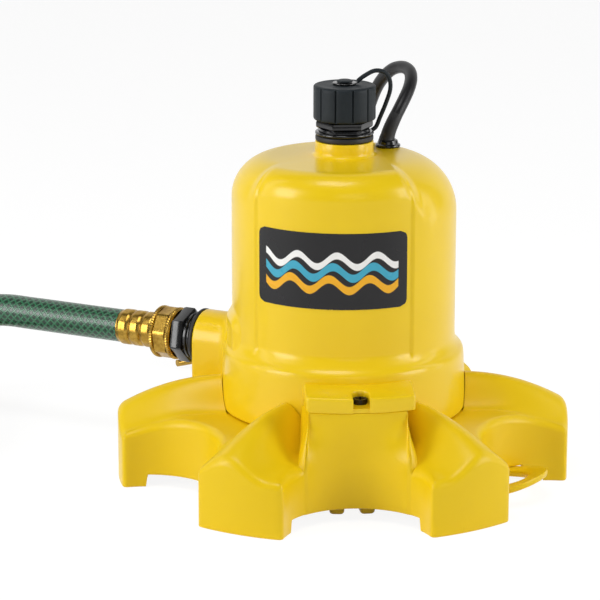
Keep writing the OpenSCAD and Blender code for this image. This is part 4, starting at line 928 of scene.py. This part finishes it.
# Steel of the screws outside, its colour darkened to charcoal as painted shade for the dark holes
# they sit in: oily, worn a little at the edges.
shade_darkened_steel = material("steel darkened as painted shade", Metallic=0.9)
mottle(shade_darkened_steel, 400.0, 3.0, tones=("#2b2a29", "#4a4845"), rough=(0.38, 0.55))
# Die-cast aluminium and stacked laminations: grey, sandy, with lines 0.5 mm apart along Z.
cast_aluminium = material("die-cast aluminium", Metallic=0.85)
mottle(cast_aluminium, 500.0, 4.0, tones=("#63676d", "#898d93"), rough=(0.42, 0.62))
where = add(cast_aluminium, "ShaderNodeTexCoord")
sheets = add(cast_aluminium, "ShaderNodeTexWave", {"Vector": where.outputs["Object"], "Scale": 320.0,
                                                   "Distortion": 0.4}, bands_direction="Z")
bump = add(cast_aluminium, "ShaderNodeBump", {"Height": sheets.outputs["Fac"], "Strength": 0.2,
                                              "Distance": 0.0002})
feed(cast_aluminium, Normal=bump.outputs["Normal"])
# Enamelled copper wire wound side by side: a dark orange varnish, strands 0.8 mm apart.
magnet_wire = material("enamelled copper wire", Metallic=0.6, IOR=1.5)
where = add(magnet_wire, "ShaderNodeTexCoord")
strand = add(magnet_wire, "ShaderNodeTexWave", {"Vector": where.outputs["Object"], "Scale": 200.0,
                                                "Distortion": 1.5},
             wave_type="RINGS", rings_direction="Z")
# Painted highlight and shade: the colour is lighter on each strand's crest, darker in the grooves.
hue = add(magnet_wire, "ShaderNodeMix", {"Factor": strand.outputs["Fac"], 6: linear("#7c3c17"),
                                         7: linear("#c8763a")},
          data_type="RGBA")
bump = add(magnet_wire, "ShaderNodeBump", {"Height": strand.outputs["Fac"], "Strength": 0.6,
                                           "Distance": 0.0004})
rough = add(magnet_wire, "ShaderNodeMapRange", {"Value": strand.outputs["Fac"], "To Min": 0.30,
                                                "To Max": 0.42})
feed(magnet_wire, Base_Color=hue.outputs[2], Roughness=rough.outputs["Result"],
     Normal=bump.outputs["Normal"])
# Moulded acetal: off-white, satin, faintly mottled.
white_acetal = material("moulded white acetal", IOR=1.48)
mottle(white_acetal, 120.0, 3.0, tones=("#cfccc0", "#e2dfd4"), rough=(0.32, 0.44))
finishes = {
    # The outside screws: steel darkened as painted shade.
    shade_darkened_steel: ("screen_screws", "housing_screws"),
    plated_steel: ("motor_can", "motor_top_cap", "lower_bearing", "upper_bearing",
                   "rotor_shaft", "impeller_nut"),
    cast_aluminium: ("upper_bracket", "stator_core", "rotor_core"),
    magnet_wire: ("stator_windings",),
    white_acetal: ("run_capacitor", "impeller"),
    matt_nylon: ("pump_chamber", "motor_bracket", "thermal_protector"),
    pvc_jacket: ("motor_leads",),
    nitrile: ("housing_seal", "shaft_seal", "cap_washer", "hose_washer")}
for finish, names in finishes.items():
    for name in names:
        nodes[name].data.materials.clear()
        nodes[name].data.materials.append(finish)

# ---- floor, backdrop and lights ----
# A pale sweep that the pump stands on; the camera and reflections see it as white paper.
paper = material("white paper sweep", Base_Color=linear("#f4f4f4"), Roughness=0.9)
path_node = add(paper, "ShaderNodeLightPath")
seen = add(paper, "ShaderNodeMath", {0: path_node.outputs["Is Camera Ray"],
                                     1: path_node.outputs["Is Glossy Ray"]},
           operation="MAXIMUM")
seen = add(paper, "ShaderNodeMath", {0: seen.outputs[0], 1: path_node.outputs["Is Transmission Ray"]},
           operation="MAXIMUM")
share = add(paper, "ShaderNodeMath", {0: seen.outputs[0], 1: 0.8}, operation="MULTIPLY")
glow = add(paper, "ShaderNodeEmission", {"Color": linear("#ffffff"), "Strength": 1.12})
both = add(paper, "ShaderNodeMixShader", {0: share.outputs[0],
                                          1: paper.node_tree.nodes["Principled BSDF"].outputs[0],
                                          2: glow.outputs[0]})
paper.node_tree.links.new(both.outputs[0], paper.node_tree.nodes["Material Output"].inputs[0])
curl = np.linspace(2.0, 4.0, 24)
sweep_y = np.concatenate([[-6.0], curl, [4.0]])
sweep_z = np.concatenate([[0.0], 2.0 - np.sqrt(np.maximum(0, 4 - (curl - 2.0) ** 2)), [7.0]])
sweep_x = np.array([-6.0, 6.0])
sweep = np.stack([sweep_x[None, :] + 0 * sweep_y[:, None], sweep_y[:, None] + 0 * sweep_x,
                  sweep_z[:, None] + 0 * sweep_x], 2)
mesh = bpy.data.meshes.new("sweep")
k = np.arange(len(sweep_y) - 1)
quads = np.stack([2 * k, 2 * k + 1, 2 * k + 3, 2 * k + 2], 1)
mesh.from_pydata(sweep.reshape(-1, 3).tolist(), [], quads.tolist())
mesh.shade_smooth()
mesh.materials.append(paper)
floor = bpy.data.objects.new("sweep", mesh)
bpy.context.scene.collection.objects.link(floor)

world = bpy.data.worlds.new("studio")
bpy.context.scene.world = world
world.use_nodes = True
world.node_tree.nodes["Background"].inputs["Color"].default_value = linear("#ffffff")
world.node_tree.nodes["Background"].inputs["Strength"].default_value = 0.15
for name, place, aim, size, watts in (
        ("softbox overhead", (-0.3, -0.6, 2.2), (0, 0, 0.1), (0.9, 0.7), 14.0),
        ("softbox left", (-1.9, -0.8, 0.7), (0, 0, 0.1), (0.9, 1.2), 23.5),
        ("softbox right", (1.9, -0.8, 0.7), (0, 0, 0.1), (0.9, 1.2), 20.5),
        ("softbox front", (0.2, -2.3, 0.9), (0, 0, 0.1), (1.2, 0.9), 3.5),
        ("strip right", (0.60, 0.05, 0.34), (0, 0, 0.1), (0.10, 0.68), 0.6),
        ("strip left", (-0.62, 0.02, 0.40), (0, 0, 0.1), (0.10, 0.72), 0.6)):
    lamp = bpy.data.lights.new(name, "AREA")
    lamp.shape, lamp.size, lamp.size_y, lamp.energy = "RECTANGLE", *size, watts
    light = bpy.data.objects.new(name, lamp)
    light.matrix_world = Matrix.Translation(place) @ (
        (Vector(aim) - Vector(place)).to_track_quat("-Z", "Y").to_matrix().to_4x4())
    light.visible_camera = False
    bpy.context.scene.collection.objects.link(light)
bpy.context.scene.view_settings.view_transform = "Standard"
